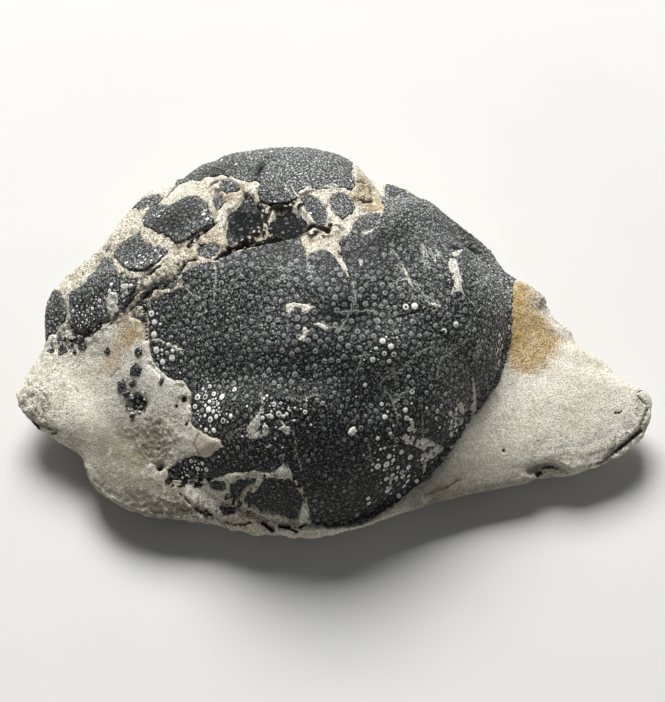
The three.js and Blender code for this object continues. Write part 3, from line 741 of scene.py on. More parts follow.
def scattered(edge, usual, first=()):
    """Granule middles and radii inside an edge."""
    low, high = edge.min(axis=0), edge.max(axis=0)
    count = int(np.prod(high - low) * DARTS_PER_MM2)
    darts = low + rng.random((count, 2)) * (high - low)
    darts = darts[inside(darts, edge)]
    size = np.interp(np.linspace(0, 1, len(darts)), SHARE_THROWN, SIZE_THEN)
    size *= by_luck(SIZE_LUCK, rng.random(len(darts)))
    if len(first):
        darts = np.vstack([first, darts])
        size = np.concatenate([np.full(len(first), BIG_SIZE), size])
    places, _ = top.at(darts)
    smooth = np.clip(mounds(places[:, 0], places[:, 1], SMOOTH), 0, 1)
    radii = usual * size * (1 - SMOOTH_SMALLER * smooth)
    keep = clear_of(darts, edge, GRANULE_TO_EDGE)
    cells = {}
    kept = []
    for n, ((u, v), place, radius, good) in enumerate(zip(
            darts.tolist(), places.tolist(), radii.tolist(), keep.tolist())):
        if not good:
            continue
        i, j = int(u // HASH_CELL), int(v // HASH_CELL)
        near = (other for di in (-1, 0, 1) for dj in (-1, 0, 1)
                for other in cells.get((i + di, j + dj), ()))
        if all((place[0] - p[0]) ** 2 + (place[1] - p[1]) ** 2 + (place[2] - p[2]) ** 2
               >= (radius + r + GRANULE_GAP) ** 2 for p, r in near):
            cells.setdefault((i, j), []).append((place, radius))
            kept.append(n)
    return darts[kept], radii[kept]


# %% The points of each granule
CARRIED = ("height", "tip", "ring", "groove", "vein", "crack")    # what each point carries
DOME_RISE = 0.28         # height of a granule against its radius
SMOOTH_LOWER = 0.12      # and what it loses where the shell is smooth
RISE_LUCK = (0.6, 0.8)
LARGE = 0.7              # against the usual radius, the least that wears to a ring
SINGLE = 1.3             # and the least of the single large ones, which are all white
STRAY_WHITE = 0.005      # share worn white outside the worn patches
PITTED_WHITE = 0.55      # share of the white ones that have a pit
PIT_KEEPS = (0.5, 0.15)      # what the middle of a pitted one keeps of its height and white
TIP_LUCK = (0.4, 0.6)
RING_LUCK = (0.35, 0.65)
FAINT_RING = 0.35        # the most on granules that aren't worn to a ring
SHOULDER = (0.66, 7)     # share of the radius, and points in the ring
FOOT = (1.0, 8)
SHOULDER_HEIGHT = 0.9    # against the top's
LINE_STEP = 0.2          # spacing of points along a fine line
LINE_WAVER = ((1.2, 0.25), (0.4, 0.1))


def block(chart, **values):
    """Rows of points with what they carry. What isn't given is 0."""
    columns = [np.broadcast_to(values.get(key, 0.0), len(chart)) for key in CARRIED]
    return np.column_stack([chart, *columns])


def granule_points(middles, radii, usual):
    """A top point, a shoulder ring and a foot ring for each granule."""
    places, _ = top.at(middles)
    x, y = places[:, 0], places[:, 1]
    luck = rng.random((5, len(middles)))
    smooth = np.clip(mounds(x, y, SMOOTH), 0, 1)
    rise = radii * (DOME_RISE - SMOOTH_LOWER * smooth) * by_luck(RISE_LUCK, luck[0])
    large = radii > LARGE * usual
    white = (luck[1] < mounds(x, y, WORN_WHITE)) | (radii > usual * SINGLE)
    white |= (luck[1] > 1 - STRAY_WHITE) & large & (smooth < 0.5)
    tip = np.where(white, by_luck(TIP_LUCK, luck[2]), 0)
    ringed = (luck[3] < mounds(x, y, RINGED)) & ~white & large
    ring = np.where(ringed, by_luck(RING_LUCK, luck[4]), FAINT_RING * luck[4] ** 2)
    to_chart = skin_to_chart(middles)
    turn = rng.random(len(middles)) * FULL_TURN
    pitted = ringed | (white & (luck[0] < PITTED_WHITE))
    height_kept, white_kept = PIT_KEEPS
    # The groove value paints shade into the pits of ringed granules and round each foot.
    blocks = [block(middles, height=np.where(pitted, height_kept, 1.0) * rise,
                    tip=np.where(pitted, white_kept, 1.0) * tip,
                    ring=np.where(ringed, 0, ring),
                    groove=np.where(ringed, 1.0, 0))]
    none = np.zeros(len(middles))
    for (share, count), height, tips, rings, groove in (
            (SHOULDER, SHOULDER_HEIGHT * rise, tip, ring, 0.0), (FOOT, none, none, none, 1.0)):
        angle = turn[:, None] + np.arange(count) * FULL_TURN / count
        offset = np.stack([np.cos(angle), np.sin(angle)], axis=2) * (share * radii)[:, None, None]
        chart = middles[:, None] + np.einsum("nij,ncj->nci", to_chart, offset)
        blocks.append(block(chart.reshape(-1, 2), height=np.repeat(height, count),
                            tip=np.repeat(tips, count), ring=np.repeat(rings, count),
                            groove=groove))
    return np.vstack(blocks)


def line_points(lines, edge, half_width, middle_values, side_values):
    """Three close rows of points along each line, so that it shows as a fine line."""
    blocks = []
    for line in lines:
        chart = roughened(top.chart_of(stepped(line, LINE_STEP, False)), LINE_WAVER)
        ahead = np.gradient(chart, axis=0)
        across = np.column_stack([-ahead[:, 1], ahead[:, 0]])
        across /= np.linalg.norm(across, axis=1, keepdims=True)
        blocks.append(block(chart, **middle_values))
        for side in (-half_width, half_width):
            blocks.append(block(chart + across * side, **side_values))
    points = np.vstack(blocks)
    return points[inside(points[:, :2], edge)]


# %% [markdown]
# ## Making the meshes
#
# A mesh gets its places in metres, its triangles, and a few values on each point that the
# material reads: how pale a granule's tip is, how much painted shade the grooves between
# granules get, and so on. Smooth shading rounds the small facets off.


# %% A piece from places and triangles
def make_piece(name, places, faces, values, slot, *nodes):
    """A piece that rides on the root, and stands in for the CAD nodes named."""
    mesh = bpy.data.meshes.new(name)
    mesh.from_pydata(((places + SHIFT) * MM).tolist(), [], faces.tolist())
    mesh.polygons.foreach_set("use_smooth", np.ones(len(faces), bool))
    for key, numbers in values.items():
        layer = mesh.attributes.new(key, "FLOAT", "POINT")
        layer.data.foreach_set("value", np.asarray(numbers, np.float32))
    mesh.update()
    piece = bpy.data.objects.new(name, mesh)
    bpy.context.collection.objects.link(piece)
    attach(piece, "root")
    if nodes:
        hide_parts(*nodes)
    print(name, len(faces), "triangles")
    return piece


# %% A solid piece of shell
SHELL_THICKNESS = 0.9
SHELL_SINK = 0.12        # the form runs through the granules, not under them
LIP = 0.17               # width of the worn lip inside a broken edge
BETWEEN_STEP = 0.45      # spacing of the points between granules
INNER_STEP = 1.3         # and of those of the inner face
# Least distance from the points already there, for points of the lip, of granules, and
# between granules.
LIP_CLEAR = 0.11
GRANULE_CLEAR = 0.08
BETWEEN_CLEAR = 0.2
SHELL_RELIEF = ((0.12, 4.5, 5.0), (0.03, 0.8, 9.0))      # depth, size and seed of soft relief
# For each kind of fine line: the lines, half their width, what their middle and their sides
# carry, and how clear they keep of other points.
FINE_LINES = (
    (SHELL_CRACKS, 0.17, {"height": -0.45, "crack": 1.0}, {"height": 0, "crack": 0.35}, 0.12),
    (HAIRLINES, 0.09, {"height": 0.06, "vein": 1.0}, {"height": 0.04, "vein": 0.2}, 0.07),
)


def lift_of(name, x, y):
    """How far a plate stands off the form at points on the plan."""
    lift, along, across = MOVED[name]
    middle = np.mean(PLATES[name], axis=0)
    return lift - SHELL_SINK + along * (x - middle[0]) + across * (y - middle[1])


def inset(edge, by):
    """An edge moved inwards on the chart."""
    ahead = np.roll(edge, -1, axis=0) - np.roll(edge, 1, axis=0)
    inward = np.column_stack([-ahead[:, 1], ahead[:, 0]])
    return edge + by * inward / np.linalg.norm(inward, axis=1, keepdims=True)


def added(rows, more, least):
    """Adds those points that are clear of the ones already there."""
    rows.append(more[clear_of(more[:, :2], np.vstack(rows)[:, :2], least)])


def shell_mesh(edge, usual, lift, thickness, first=()):
    """Places, triangles and carried values of a solid piece of shell."""
    # The groove value paints shade on the broken edge, less on its lip, and fully between
    # granules.
    rows = [block(edge, height=-0.1, groove=0.6)]
    worn_lip = inset(edge, LIP)
    worn_lip = worn_lip[clear_of(worn_lip, edge, LIP_CLEAR) & inside(worn_lip, edge)]
    rows.append(block(worn_lip, height=0.02, groove=0.3))
    for lines, half_width, middle, side, least in FINE_LINES:
        added(rows, line_points(lines, edge, half_width, middle, side), least)
    granules = granule_points(*scattered(edge, usual, first), usual)
    added(rows, granules[inside(granules[:, :2], edge)], GRANULE_CLEAR)
    between = filling(edge, BETWEEN_STEP)
    added(rows, block(between, height=-0.02, groove=1.0), BETWEEN_CLEAR)
    points = np.vstack(rows)
    flat, faces, source = triangulated(points[:, :2], len(edge))
    carried = points[source, 2:]
    places, outward = top.at(flat)
    relief = sum(depth * fractal(places, size, 2, seed) for depth, size, seed in SHELL_RELIEF)
    rise = carried[:, 0] + relief + lift(places[:, 0], places[:, 1])
    places = places + outward * rise[:, None]
    below, walls, inner = closed_below(flat, faces, INNER_STEP)
    low_places, low_outward = top.at(below)
    drop = lift(low_places[:, 0], low_places[:, 1]) - thickness
    low_places = low_places + low_outward * drop[:, None]
    carried = np.vstack([carried, np.zeros((len(below), len(CARRIED)))])
    return np.vstack([places, low_places]), np.vstack([faces, walls, inner]), carried


def shell_values(places, carried):
    """What the shell's finish reads on each point."""
    x, y = places[:, 0], places[:, 1]
    values = {key: carried[:, n] for n, key in enumerate(CARRIED) if n > 0}
    # Dust with painted light: paler towards +y, where the lamp falls fuller; below 0, painted
    # shade.
    values["dust_and_light"] = np.clip(np.interp(y, *DUST_AND_LIGHT_ALONG) + mounds(x, y, DUST_AND_LIGHT_PATCHES), -1, 1)
    return values


# %% The plates
SMALL_GRANULE = 0.34
GRANULES_OF = {"carapace_shield": GRANULE, "front_cap": 0.3, "rear_plate": 0.3}


def shell_plate(name):
    """A plate of shell. The main one also has the single large granules."""
    big = top.chart_of(BIG_WHITE) if name == "carapace_shield" else ()
    usual = GRANULES_OF.get(name, SMALL_GRANULE)
    places, faces, carried = shell_mesh(EDGES[name], usual, partial(lift_of, name),
                                        SHELL_THICKNESS, big)
    return make_piece(name + "_shell", places, faces, shell_values(places, carried),
                      "shell", name)


shell_pieces = [shell_plate(name) for name in PLATES]

# %% [markdown]
# ## The stone
#
# Marl is a soft, limy mudstone. Its skin is nearly smooth on the wings, crumbly where it
# broke, and it fills every gap between the plates. The mesh is fine where stone shows and
# coarse under the shell, where it only has to close the form. Narrow gaps run along the sides
# of some plates, where the stone has shrunk away from the shell, and painted shade darkens them.

# %% How high the stone stands
# Lower or higher than the form: middle, reach, turn, height.
STONE_LEVELS = [
    ((-33, -4), (8, 8), 0, -0.2), ((-24, -13), (5, 5), 0, 0.1), ((-25.1, -1), (4, 7), 0, 0.4),
    ((-29.5, -2.5), (3.5, 3.5), 0, 0.5), ((-32, -4), (3.5, 5), 0, 0.6),
    ((-34.5, 0.8), (4, 1.8), 0, 0.4), ((-28, -8.5), (6, 4.2), 0, 0.8),
    ((-28.8, -9.5), (1.5, 1.3), 0, -1.7),        # pit with crystals
    ((-25.5, -18.3), (0.45, 0.4), 0, -1.2),      # small hole
    ((31.8, -17.9), (2.9, 0.8), -4, -1.2),       # chip out of the right rim
    ((31.7, 9.7), (2, 2), 0, 0.2), ((35.4, 4), (1.6, 1.6), 0, 0.3),
    ((-43, -11.6), (1.3, 0.6), -20, -0.8),
    ((-18.2, -18), (1.7, 1), 10, 0.7),           # lump beside the left gill region
    ((-27.2, -16), (1.6, 1.8), 0, 0.5), ((-31.6, 4.3), (2, 1), 0, 0.3),
    ((-12.2, 13.7), (0.5, 2), -10, 0.2), ((-10.4, 10.1), (2, 0.8), 30, -0.9),
    ((-10, 13.9), (0.9, 3), 0, -0.35), ((-26, 4.3), (2.6, 1.2), 10, -0.5),
    ((-13, -22), (2.6, 0.4), 0, 0.5), ((-9.6, -22.9), (0.9, 0.4), 0, 0.4),
    ((-7.3, -22.8), (0.9, 0.5), 0, 0.4), ((-11.4, -26.6), (1.5, 0.5), 0, 0.5),
    ((-6, -27), (0.8, 0.5), 0, 0.4), ((-3, -27.3), (1.6, 0.5), 0, 0.5),
    ((0.5, -27.2), (1.6, 0.5), 10, 0.4), ((-14.6, -25.4), (1.4, 0.6), 20, 0.4),
    ((31.6, 7.2), (0.8, 1.2), -30, -0.35), ((46.5, -6.2), (1.4, 1.6), 0, 0.35),
]

# %% What colours the stone
# Stains of iron: outline on the plan, strength, softness of the edge.
OCHRE = [
    ([(26.6, 10.6), (29, 11.7), (30.4, 9.9), (30.1, 7.2), (31.4, 5.6), (33.1, 3.6), (34.1, 2),
      (33.6, -0.4), (32, -2.7), (29.4, -3.9), (26.4, -3.8), (26, 3.5)], 0.95, 0.9),
    ([(26.1, 9.8), (28.6, 8.6), (29.2, 4.9), (29.4, 1.3), (28, -1.4), (26.3, -1.1)], 1.2, 1.4),
    ([(-31.1, 1.8), (-29.7, 1.4), (-28.4, 0.2), (-28, -1.1), (-28.5, -2.1), (-29.7, -2.4),
      (-30.7, -2.9), (-31.4, -3.6), (-32.6, -4.4), (-33.8, -4.4), (-34.4, -3.5), (-34.1, -2.8),
      (-32.8, -2.5), (-32, -1.7), (-31.9, -0.5), (-31.6, 0.7)], 0.85, 1.4),
    ([(3.3, 21.4), (4.4, 24.6), (6.2, 23.6), (7.5, 20.3), (7.6, 15.3), (5.8, 15.3), (4.1, 16.2),
      (3.1, 18.4)], 0.7, 0.8),
    ([(-36.5, -3), (-33, 0), (-28.5, 1.7), (-28, -6), (-31, -7.4), (-35, -6)], 0.12, 2.0),
    ([(-21.9, 10.7), (-17.3, 12.4), (-16.1, 9.1), (-19, 6.7), (-24, 5.5)], 0.45, 1.0),
    ([(-16.6, 20.3), (-13, 20.5), (-14.5, 17.6), (-17, 16.7)], 0.4, 0.8),
    ([(-6, 9.6), (0, 11.4), (1, 8.4), (-4.2, 8)], 0.3, 1.0),
    ([(-20, -22.6), (-9, -26), (2, -28), (-4, -32), (-26, -29)], 0.3, 1.5),
    ([(-31, 0.6), (-29.2, 0.4), (-28.6, -1), (-30, -1.8), (-31.6, -1.4)], 0.6, 0.8),
    ([(-33.8, -2.6), (-33, -3), (-33.4, -4), (-34.2, -3.8)], 0.6, 0.6),
    ([(-19.8, -16.3), (-20.3, -17), (-19.9, -18), (-18.9, -18.9), (-17.4, -19.4), (-16.6, -18.4),
      (-17.5, -17.3)], 0.3, 0.5),
    ([(-31.7, -0.9), (-30.8, -1), (-30.9, -2), (-31.8, -1.9)], 0.85, 0.6),
]
# Duller, greyer patches, partly painted shade on the near flanks: middle, reach, turn, strength.
GREY_AND_SHADE = [
    ((-27, -15), (3.5, 3), 0, 0.45), ((-12, -22.6), (1.6, 0.8), 0, 0.4),
    ((-22, -22.4), (3, 1), -20, 0.3), ((31.6, 7.2), (0.9, 1.3), -30, 1.0),
    ((33, -20), (16, 1.2), 10, 0.5), ((-31, -13), (7, 4), -30, 0.25),
    ((-22.5, -11), (1, 0.9), 0, 0.8), ((-13.6, -18.6), (1, 1), 0, 0.4),
    ((-32, -18), (8, 6), 20, 0.75), ((-26, -23), (6, 2.4), -16, 0.85),
    ((-34.3, -1.3), (0.9, 0.6), 0, 0.5), ((-38, -13), (6, 2), -30, 0.3),
    ((14, -24.5), (9, 1.6), 20, 0.4), ((20, -18.6), (7, 3.4), 35, 0.6),
    ((14, -22.4), (5, 1.6), 35, 0.5), ((28, -19), (8, 1.4), 12, 0.5),
    ((-19.3, -18), (2.4, 1), 10, 0.7), ((-24, -21.5), (4, 1.4), -10, 0.6),
    ((-33, -13), (3.5, 3), 0, 0.35), ((-23.2, -19.9), (1.8, 0.8), 0, 1.0),
]
# Rough, broken patches. Those below 0 are smoother than what lies round them, and less
# grained, so paler: painted light on the left flank.
RUGGED = [
    ((-45, -8), (4, 4), 0, 0.8), ((-26, -15), (4, 4.5), 0, 0.7), ((-15, 10), (20, 12), 0, 0.9),
    ((-35.2, 15.2), (10, 14), 0, 0.7), ((32, 9), (3, 3), 0, 0.9), ((5, 20.2), (3, 6), 0, 1.0),
    ((28, -20.5), (14, 1.2), 10, 0.5), ((-15, -25), (18, 2.4), 0, 0.9),
    ((46.1, -8.9), (2, 4), 0, 0.4), ((-40, 2.1), (4, 2), 0, 0.8), ((-22, -9), (2, 5), 20, 0.5),
    ((-30, -6), (3, 4), 0, 0.25), ((-30, 3.8), (5, 2), 0, 0.9), ((-30, -2), (5, 4), 0, -0.5),
    ((-24, -10), (2.5, 4), 20, -0.3), ((32, -17.6), (3, 1), 0, 0.8),
    ((43.5, -13), (4, 1), 39, 0.8),
]
# Blackened patches: dark film, and painted shade in recesses, under ledges and in the pit.
FILMS_AND_SHADE = [
    ((-10.4, 13), (1.3, 4), 0, 1.6), ((-11, 10.2), (3, 1.4), 10, 1.5),
    ((-12, 9.4), (2.6, 1), 12, 1.0), ((-7.1, 16.7), (3.4, 1.2), 5, 1.7),
    ((-7, 9.2), (5, 0.8), 8, 0.9), ((-5.8, 16.8), (4, 0.7), 0, 0.5),
    ((-3.2, 12), (0.8, 2.4), 15, 0.8), ((-0.4, 12.2), (0.7, 1.6), 0, 0.7),
    ((-14, 8.6), (4, 0.9), 8, 0.8), ((-24.5, 5.4), (4, 1.3), 8, 0.6),
    ((-20, 8.6), (3, 0.9), 30, 0.6), ((-28, 1.8), (0.8, 2.8), 0, 0.8),
    ((-14, -23.9), (3, 0.9), -8, 0.6), ((-8, -26.7), (5, 0.7), 0, 0.6),
    ((-16.6, 21), (1.6, 0.8), 30, 0.6), ((-22, 9.9), (3, 0.8), 30, 0.5),
    ((-34, 1.6), (6, 1), 5, 0.5), ((4.4, 15), (1.2, 0.6), 0, 0.3),
    ((-24, 21.5), (4, 0.6), 30, 0.4), ((0.6, 11.4), (1.4, 0.6), -20, 0.7),
    ((43.6, -13.3), (4, 0.6), 39, 0.9), ((38.4, -16.5), (4, 0.5), 17, 0.7),
    ((-28.8, -9.5), (1.5, 1.3), 0, 1.3), ((-41.5, 1.4), (2, 1.4), 0, 0.8),
    ((-37.8, 1.2), (1.4, 0.9), 0, 0.7), ((-20, -20.9), (4, 0.8), -8, 0.5),
    ((-2, -26.6), (3, 0.4), 0, 0.6), ((47, -8), (0.8, 3), 20, 0.5),
    ((-13, -22.6), (2.4, 0.5), -8, 0.6), ((-9.3, -23), (0.6, 0.5), 0, 0.7),
    ((-5, -23.9), (1.4, 0.5), -50, 0.7), ((-18.7, -21), (2, 0.4), -10, 0.8),
    ((-10, -22.9), (0.8, 0.5), 0, 1.0), ((-8.3, -23.1), (0.7, 0.4), 0, 0.9),
    ((-4.7, -24.5), (0.5, 1.9), 40, 1.2), ((-13.6, -22.9), (1.4, 0.5), 0, 0.6),
    ((-14.7, -23.8), (1.2, 0.8), 0, 0.8), ((32, -17.8), (2.8, 0.8), -4, 1.5),
    ((31.5, 7), (0.7, 1), -30, 0.6), ((17.5, -20.2), (2.6, 0.35), 30, 0.7),
    ((20.4, -19.4), (1.6, 0.3), -5, 0.5), ((1, 9.6), (3, 2), 0, 0.5),
    ((-0.8, 18.9), (2.6, 0.6), 0, 0.8), ((-17.6, 22.2), (2.4, 0.8), 20, 0.8),
    ((-22.5, -21.3), (3.5, 0.6), -5, 0.9), ((-36, 1.9), (4, 0.8), 0, 1.2),
    ((-17, 18.5), (1.6, 2.4), 0, 0.8), ((-26.3, 4), (2.4, 0.55), 20, 1.0),
    ((-28.6, 3.5), (1, 0.9), 0, 0.7), ((-2, 8.9), (2.2, 1), 0, 0.6),
    ((-22.6, -20.6), (2.4, 0.5), -4, 0.5), ((-22.8, -20.4), (2.4, 0.8), -4, 1.6),
]
# Painted light: paler patches on the lumps of the near rim, on the left flank, and on
# the edges by the sunken plates.
PAINTED_LIGHT = [
    ((-15, -21.6), (1.6, 0.35), -6, 1.3), ((-12.1, -21.9), (1.3, 0.4), -6, 1.3),
    ((-9.5, -22.8), (0.7, 0.35), 0, 1.2), ((-7, -22.8), (0.9, 0.6), 0, 1.3),
    ((-11.4, -24.1), (1.6, 0.3), 50, 1.0), ((-4.2, -26), (0.6, 0.8), 0, 1.0),
    ((-19.5, -22.8), (2.6, 0.7), -20, 1.0), ((-17.3, -24), (2.2, 0.9), -20, 1.6),
    ((-14.6, -25.4), (1.8, 0.5), -20, 1.2), ((-11.4, -26.6), (1.5, 0.5), -15, 1.2),
    ((-6.9, -27.4), (1.4, 0.4), 0, 1.2), ((-2.5, -27.4), (1.8, 0.4), 0, 1.2),
    ((1.1, -27.1), (1.5, 0.4), 5, 1.1), ((-31, -3), (5, 6), 0, 1.1),
    ((-24, -10), (2.6, 5), 20, 0.9), ((-9.4, 16.3), (0.8, 0.3), 40, 0.9),
    ((-3.6, 14.6), (0.4, 1), 20, 0.9), ((-18, -22.8), (3, 0.9), -14, 1.6),
    ((-27, -8.2), (2, 2), 0, 0.8), ((-33, 0.4), (3, 1), 0, 0.9), ((-22, -9.4), (2, 1.2), 0, 0.8),
    ((-25, -6.6), (2.4, 2), 0, 1.0),
]

# %% Cracks and specks of the stone
# Cracks and gaps by plate edges: line on the plan, half width, depth, and darkness, which
# is painted shade in them.
STONE_CRACKS = [
    ([(-17, 6.9), (-15.8, 7.7), (-14.7, 8.2), (-13.6, 8.4), (-12, 8.7), (-10.3, 8.6), (-8.8, 8.8),
      (-7.1, 9.1), (-5.6, 9.7), (-4.5, 10.5), (-3.4, 11.3), (-2.6, 11.6), (-1.5, 11.2),
      (-0.7, 10.6)], 0.5, 1.4, 1.0),
    ([(-10.1, 10.1), (-10.6, 11.6), (-10.2, 13.7), (-9.2, 15.5)], 0.22, 0.6, 0.8),
    ([(-20.1, 7.5), (-21.2, 7.3), (-22, 6.4), (-22.6, 5.4), (-23.5, 4.3)], 0.28, 0.8, 0.9),
    ([(-28.2, 3.7), (-27.3, 4.3), (-25.9, 4.6), (-25, 4.2), (-23.3, 4.1)], 0.3, 0.9, 1.0),
    ([(-28, 3.2), (-27.7, 1.6), (-27.5, 0.2), (-27.4, -1.8)], 0.22, 1.0, 1.0),
    ([(-30.2, 3.7), (-29.2, 4.3), (-28.1, 4.8)], 0.2, 0.6, 0.9),
    ([(-30, 2.7), (-28.9, 3.1), (-27.8, 2.7)], 0.2, 0.6, 0.9),
    ([(-29.7, 1.8), (-28.4, 1.1), (-27.6, 0.6)], 0.18, 0.5, 0.8),
    ([(-39.5, 4), (-38.7, 2.7), (-37.4, 2), (-36.1, 2), (-35, 2.5),
      (-33.4, 2.4)], 0.25, 0.6, 0.9),
    ([(-17.3, 13.8), (-18.9, 12.3), (-20.4, 11.4), (-21.4, 10.2)], 0.28, 0.6, 0.9),
    ([(-24.4, 8.7), (-25.4, 7.4), (-26.6, 6.9), (-27.4, 6.6)], 0.22, 0.5, 0.85),
    ([(-16.1, 12.8), (-16.5, 14.9), (-16, 16.7)], 0.14, 0.3, 0.6),
    ([(-32.7, -5.2), (-32, -4.5), (-31.2, -4.3)], 0.1, 0.2, 0.6),
    ([(3.6, 17.9), (4.7, 17.9), (6, 18.8)], 0.2, 0.6, 0.9),
    ([(3.4, 21.5), (4.9, 22.9), (6.3, 21)], 0.16, 0.4, 0.5),
    ([(4.4, 14.5), (5, 15.9), (6.6, 16)], 0.14, 0.3, 0.6),
    ([(-22.5, -22.3), (-21.4, -23.3), (-20.3, -24.2), (-19.3, -24.8)], 0.12, 0.5, 0.7),
    ([(-20.1, -24.1), (-19.2, -24.5), (-17.8, -24.9)], 0.25, 0.5, 0.9),
    ([(-16.4, -24.2), (-15.6, -24.8), (-14.6, -25)], 0.5, 0.3, 0.8),
    ([(-15.7, -25.9), (-14.8, -26.4), (-13.2, -26.5), (-12, -26.4)], 0.2, 0.5, 0.9),
    ([(-10.3, -26.4), (-9.4, -26.9), (-8.8, -27.2)], 0.4, 0.9, 1.0),
    ([(-7.7, -26.8), (-6.4, -27)], 0.4, 0.9, 1.0),
    ([(-6.1, -27.3), (-5.2, -27.5)], 0.22, 0.6, 1.0),
    ([(-4.8, -27.1), (-3.9, -26.7)], 0.25, 0.5, 0.9),
    ([(-44.8, -5.2), (-43.7, -5.9), (-42.8, -7), (-42.5, -8.1)], 0.1, 0.25, 0.5),
    ([(-41, -6.4), (-41.1, -7.8)], 0.1, 0.2, 0.6), ([(-38.5, -5.6), (-38, -6.2)], 0.1, 0.3, 0.8),
    ([(-45.1, -9.6), (-43.8, -10.7), (-42.5, -11.5), (-41.2, -11.8)], 0.2, 0.4, 0.9),
    ([(29.4, -17.7), (30.4, -17.3), (31.6, -16.8), (32.8, -16.7), (33.9, -17),
      (34.8, -17.4)], 0.4, 0.9, 1.0),
    ([(46.2, -11.1), (45.1, -12), (43.7, -13.2), (42.1, -14.4), (40.7, -15.5)], 0.34, 0.4, 0.9),
    ([(45.6, -5.8), (46.5, -5.1), (47.3, -5.6)], 0.12, 0.3, 0.9),
    ([(45.7, -6.3), (46.5, -7.1), (47, -7.4)], 0.16, 0.3, 0.9),
    ([(47.3, -7.8), (46.6, -9.4), (46, -10.9)], 0.14, 0.4, 0.8),
    ([(32.5, 5.7), (34.1, 5), (35.1, 4.2), (36.1, 3.2)], 0.14, 0.3, 0.6),
    ([(30.8, 7.4), (31.3, 6.5), (32.2, 5.9)], 0.2, 0.2, 0.5),
    ([(-24.6, -7.3), (-25.7, -6), (-26.8, -4.8)], 0.16, 0.3, 0.6),
    ([(-24.2, -19.3), (-23.6, -20.5), (-21.9, -20.8), (-20, -21)], 0.16, 0.3, 0.6),
    ([(13.7, -21.8), (15.9, -21), (17.7, -20.2), (18.6, -19.6)], 0.14, 0.3, 0.7),
    ([(-19.6, -16.1), (-20.3, -17), (-19.9, -18), (-18.9, -18.9),
      (-17.4, -19.5)], 0.12, 0.3, 0.35),
]
# Dark dots of manganese, and small holes darkened with painted shade: place and radius.
SPECKS = [
    ((25.4, -15.2), 0.3), ((30.6, -13.7), 0.17), ((42.3, -9.1), 0.28), ((42.8, -9), 0.28),
    ((43.2, -8.8), 0.2), ((34.8, -3.2), 0.12), ((-25.5, -18.3), 0.45), ((-36, -12), 0.14),
    ((-39.6, -9.6), 0.2), ((-21.8, -10.6), 0.5), ((-22.9, -11.3), 0.3), ((-21.4, -14), 0.35),
]

# %% Depth and darkness of cracks, gaps and stains
CRACK_REACH = 1.5        # how far to either side a crack is worked out
CRACK_STEP = 0.1         # spacing of the points along it
STAIN_STEP = 0.3         # and along a stain's outline
SPECK_DEPTH = 0.5        # against its radius
SHRUNK = 0.3             # width of the gap where the stone has shrunk from the shell
SHRUNK_ABOVE = 6         # height above which it has
# Soft reliefs: size of the swells in mm, layers, and seed.
CRACK_WAVER = (0.9, 3, 2.2)
STAIN_WAVER = (1.6, 4, 7.7)
SHRINKING = (2.2, 3, 14.0)


def near_to(plan, points, reach):
    """Numbers of the points on the plan that lie in the box round a line, plus a reach."""
    beyond = plan > points.min(axis=0) - reach
    before = plan < points.max(axis=0) + reach
    return np.flatnonzero(np.all(beyond & before, axis=1))


def crack_depths(x, y):
    """Depth and darkness of cracks and specks on the plan; the darkness is painted shade and
    manganese.
    """
    depth = np.zeros(len(x))
    dark = np.zeros(len(x))
    plan = np.column_stack([x, y])
    for line, half_width, deep, darkness in STONE_CRACKS:
        points = stepped(line, CRACK_STEP, False)
        near = near_to(plan, points, CRACK_REACH)
        waver = 0.3 * fractal(plan[near], *CRACK_WAVER)
        away = np.min(np.hypot(plan[near, None, 0] - points[None, :, 0],
                               plan[near, None, 1] - points[None, :, 1]), axis=1)
        share = np.exp(-((away / half_width / (1 + waver)) ** 2))
        depth[near] = np.maximum(depth[near], deep * share)
        dark[near] = np.maximum(dark[near], darkness * share)
    for (sx, sy), radius in SPECKS:
        share = np.exp(-((x - sx) ** 2 + (y - sy) ** 2) / radius ** 2)
        depth = np.maximum(depth, SPECK_DEPTH * radius * share)
        dark = np.maximum(dark, share)
    return depth, dark


def edge_gaps(places):
    """How strongly the stone has drawn back from the nearest edge of the shell, from 0 to 1."""
    rims = tree_of(np.vstack([top.at(edge)[0] for edge in EDGES.values()]))
    near = np.flatnonzero(places[:, 2] > SHRUNK_ABOVE)
    away = np.ones(len(places))
    away[near] = [rims.find(place)[2] for place in places[near].tolist()]
    drawn = np.clip(fractal(places, *SHRINKING) * 2.4 + 0.55, 0, 1)
    return drawn * np.clip(1 - away / SHRUNK, 0, 1) ** 0.7


def stained(x, y, stains):
    """Strength of soft-edged stains at points on the plan."""
    plan = np.column_stack([x, y])
    waver = 0.8 * fractal(plan, *STAIN_WAVER)
    most = np.zeros(len(plan))
    for outline, strength, softness in stains:
        points = stepped(outline, STAIN_STEP, True)
        near = near_to(plan, points, 2 * softness)
        away = distances(plan[near], points)
        within = np.where(inside(plan[near], points), away, -away) / softness + waver[near]
        share = np.clip(within * 0.5 + 0.5, 0, 1)
        most[near] = np.maximum(most[near], strength * share)
    return most


# %% Relief of the stone
BAND_LEVEL = -0.22       # how far the stone between the plates lies below the form
BANDS = ((-12, 8), (26, 22), 0, 1.0)         # where those bands are
BEDDING_TOP = 9          # ledges of the bedding show below this height
WORN_RIM = ((21, -19.5), (11, 5), 25, 1.3)   # where the ledges are worn smooth
# Soft reliefs again: size of the swells in mm, layers, and seed.
SWELLS = (5, 3, 1.0)
LUMPS = (1.4, 4, 2.0)
GRIT = (0.5, 3, 3.0)
LEDGES = (1.2, 3, 4.0)
LEDGE_GRIT = (0.9, 3, 6.0)
LEDGE_STRETCH = (0.12, 0.12, 1.0)    # makes the swells of the ledges long and flat


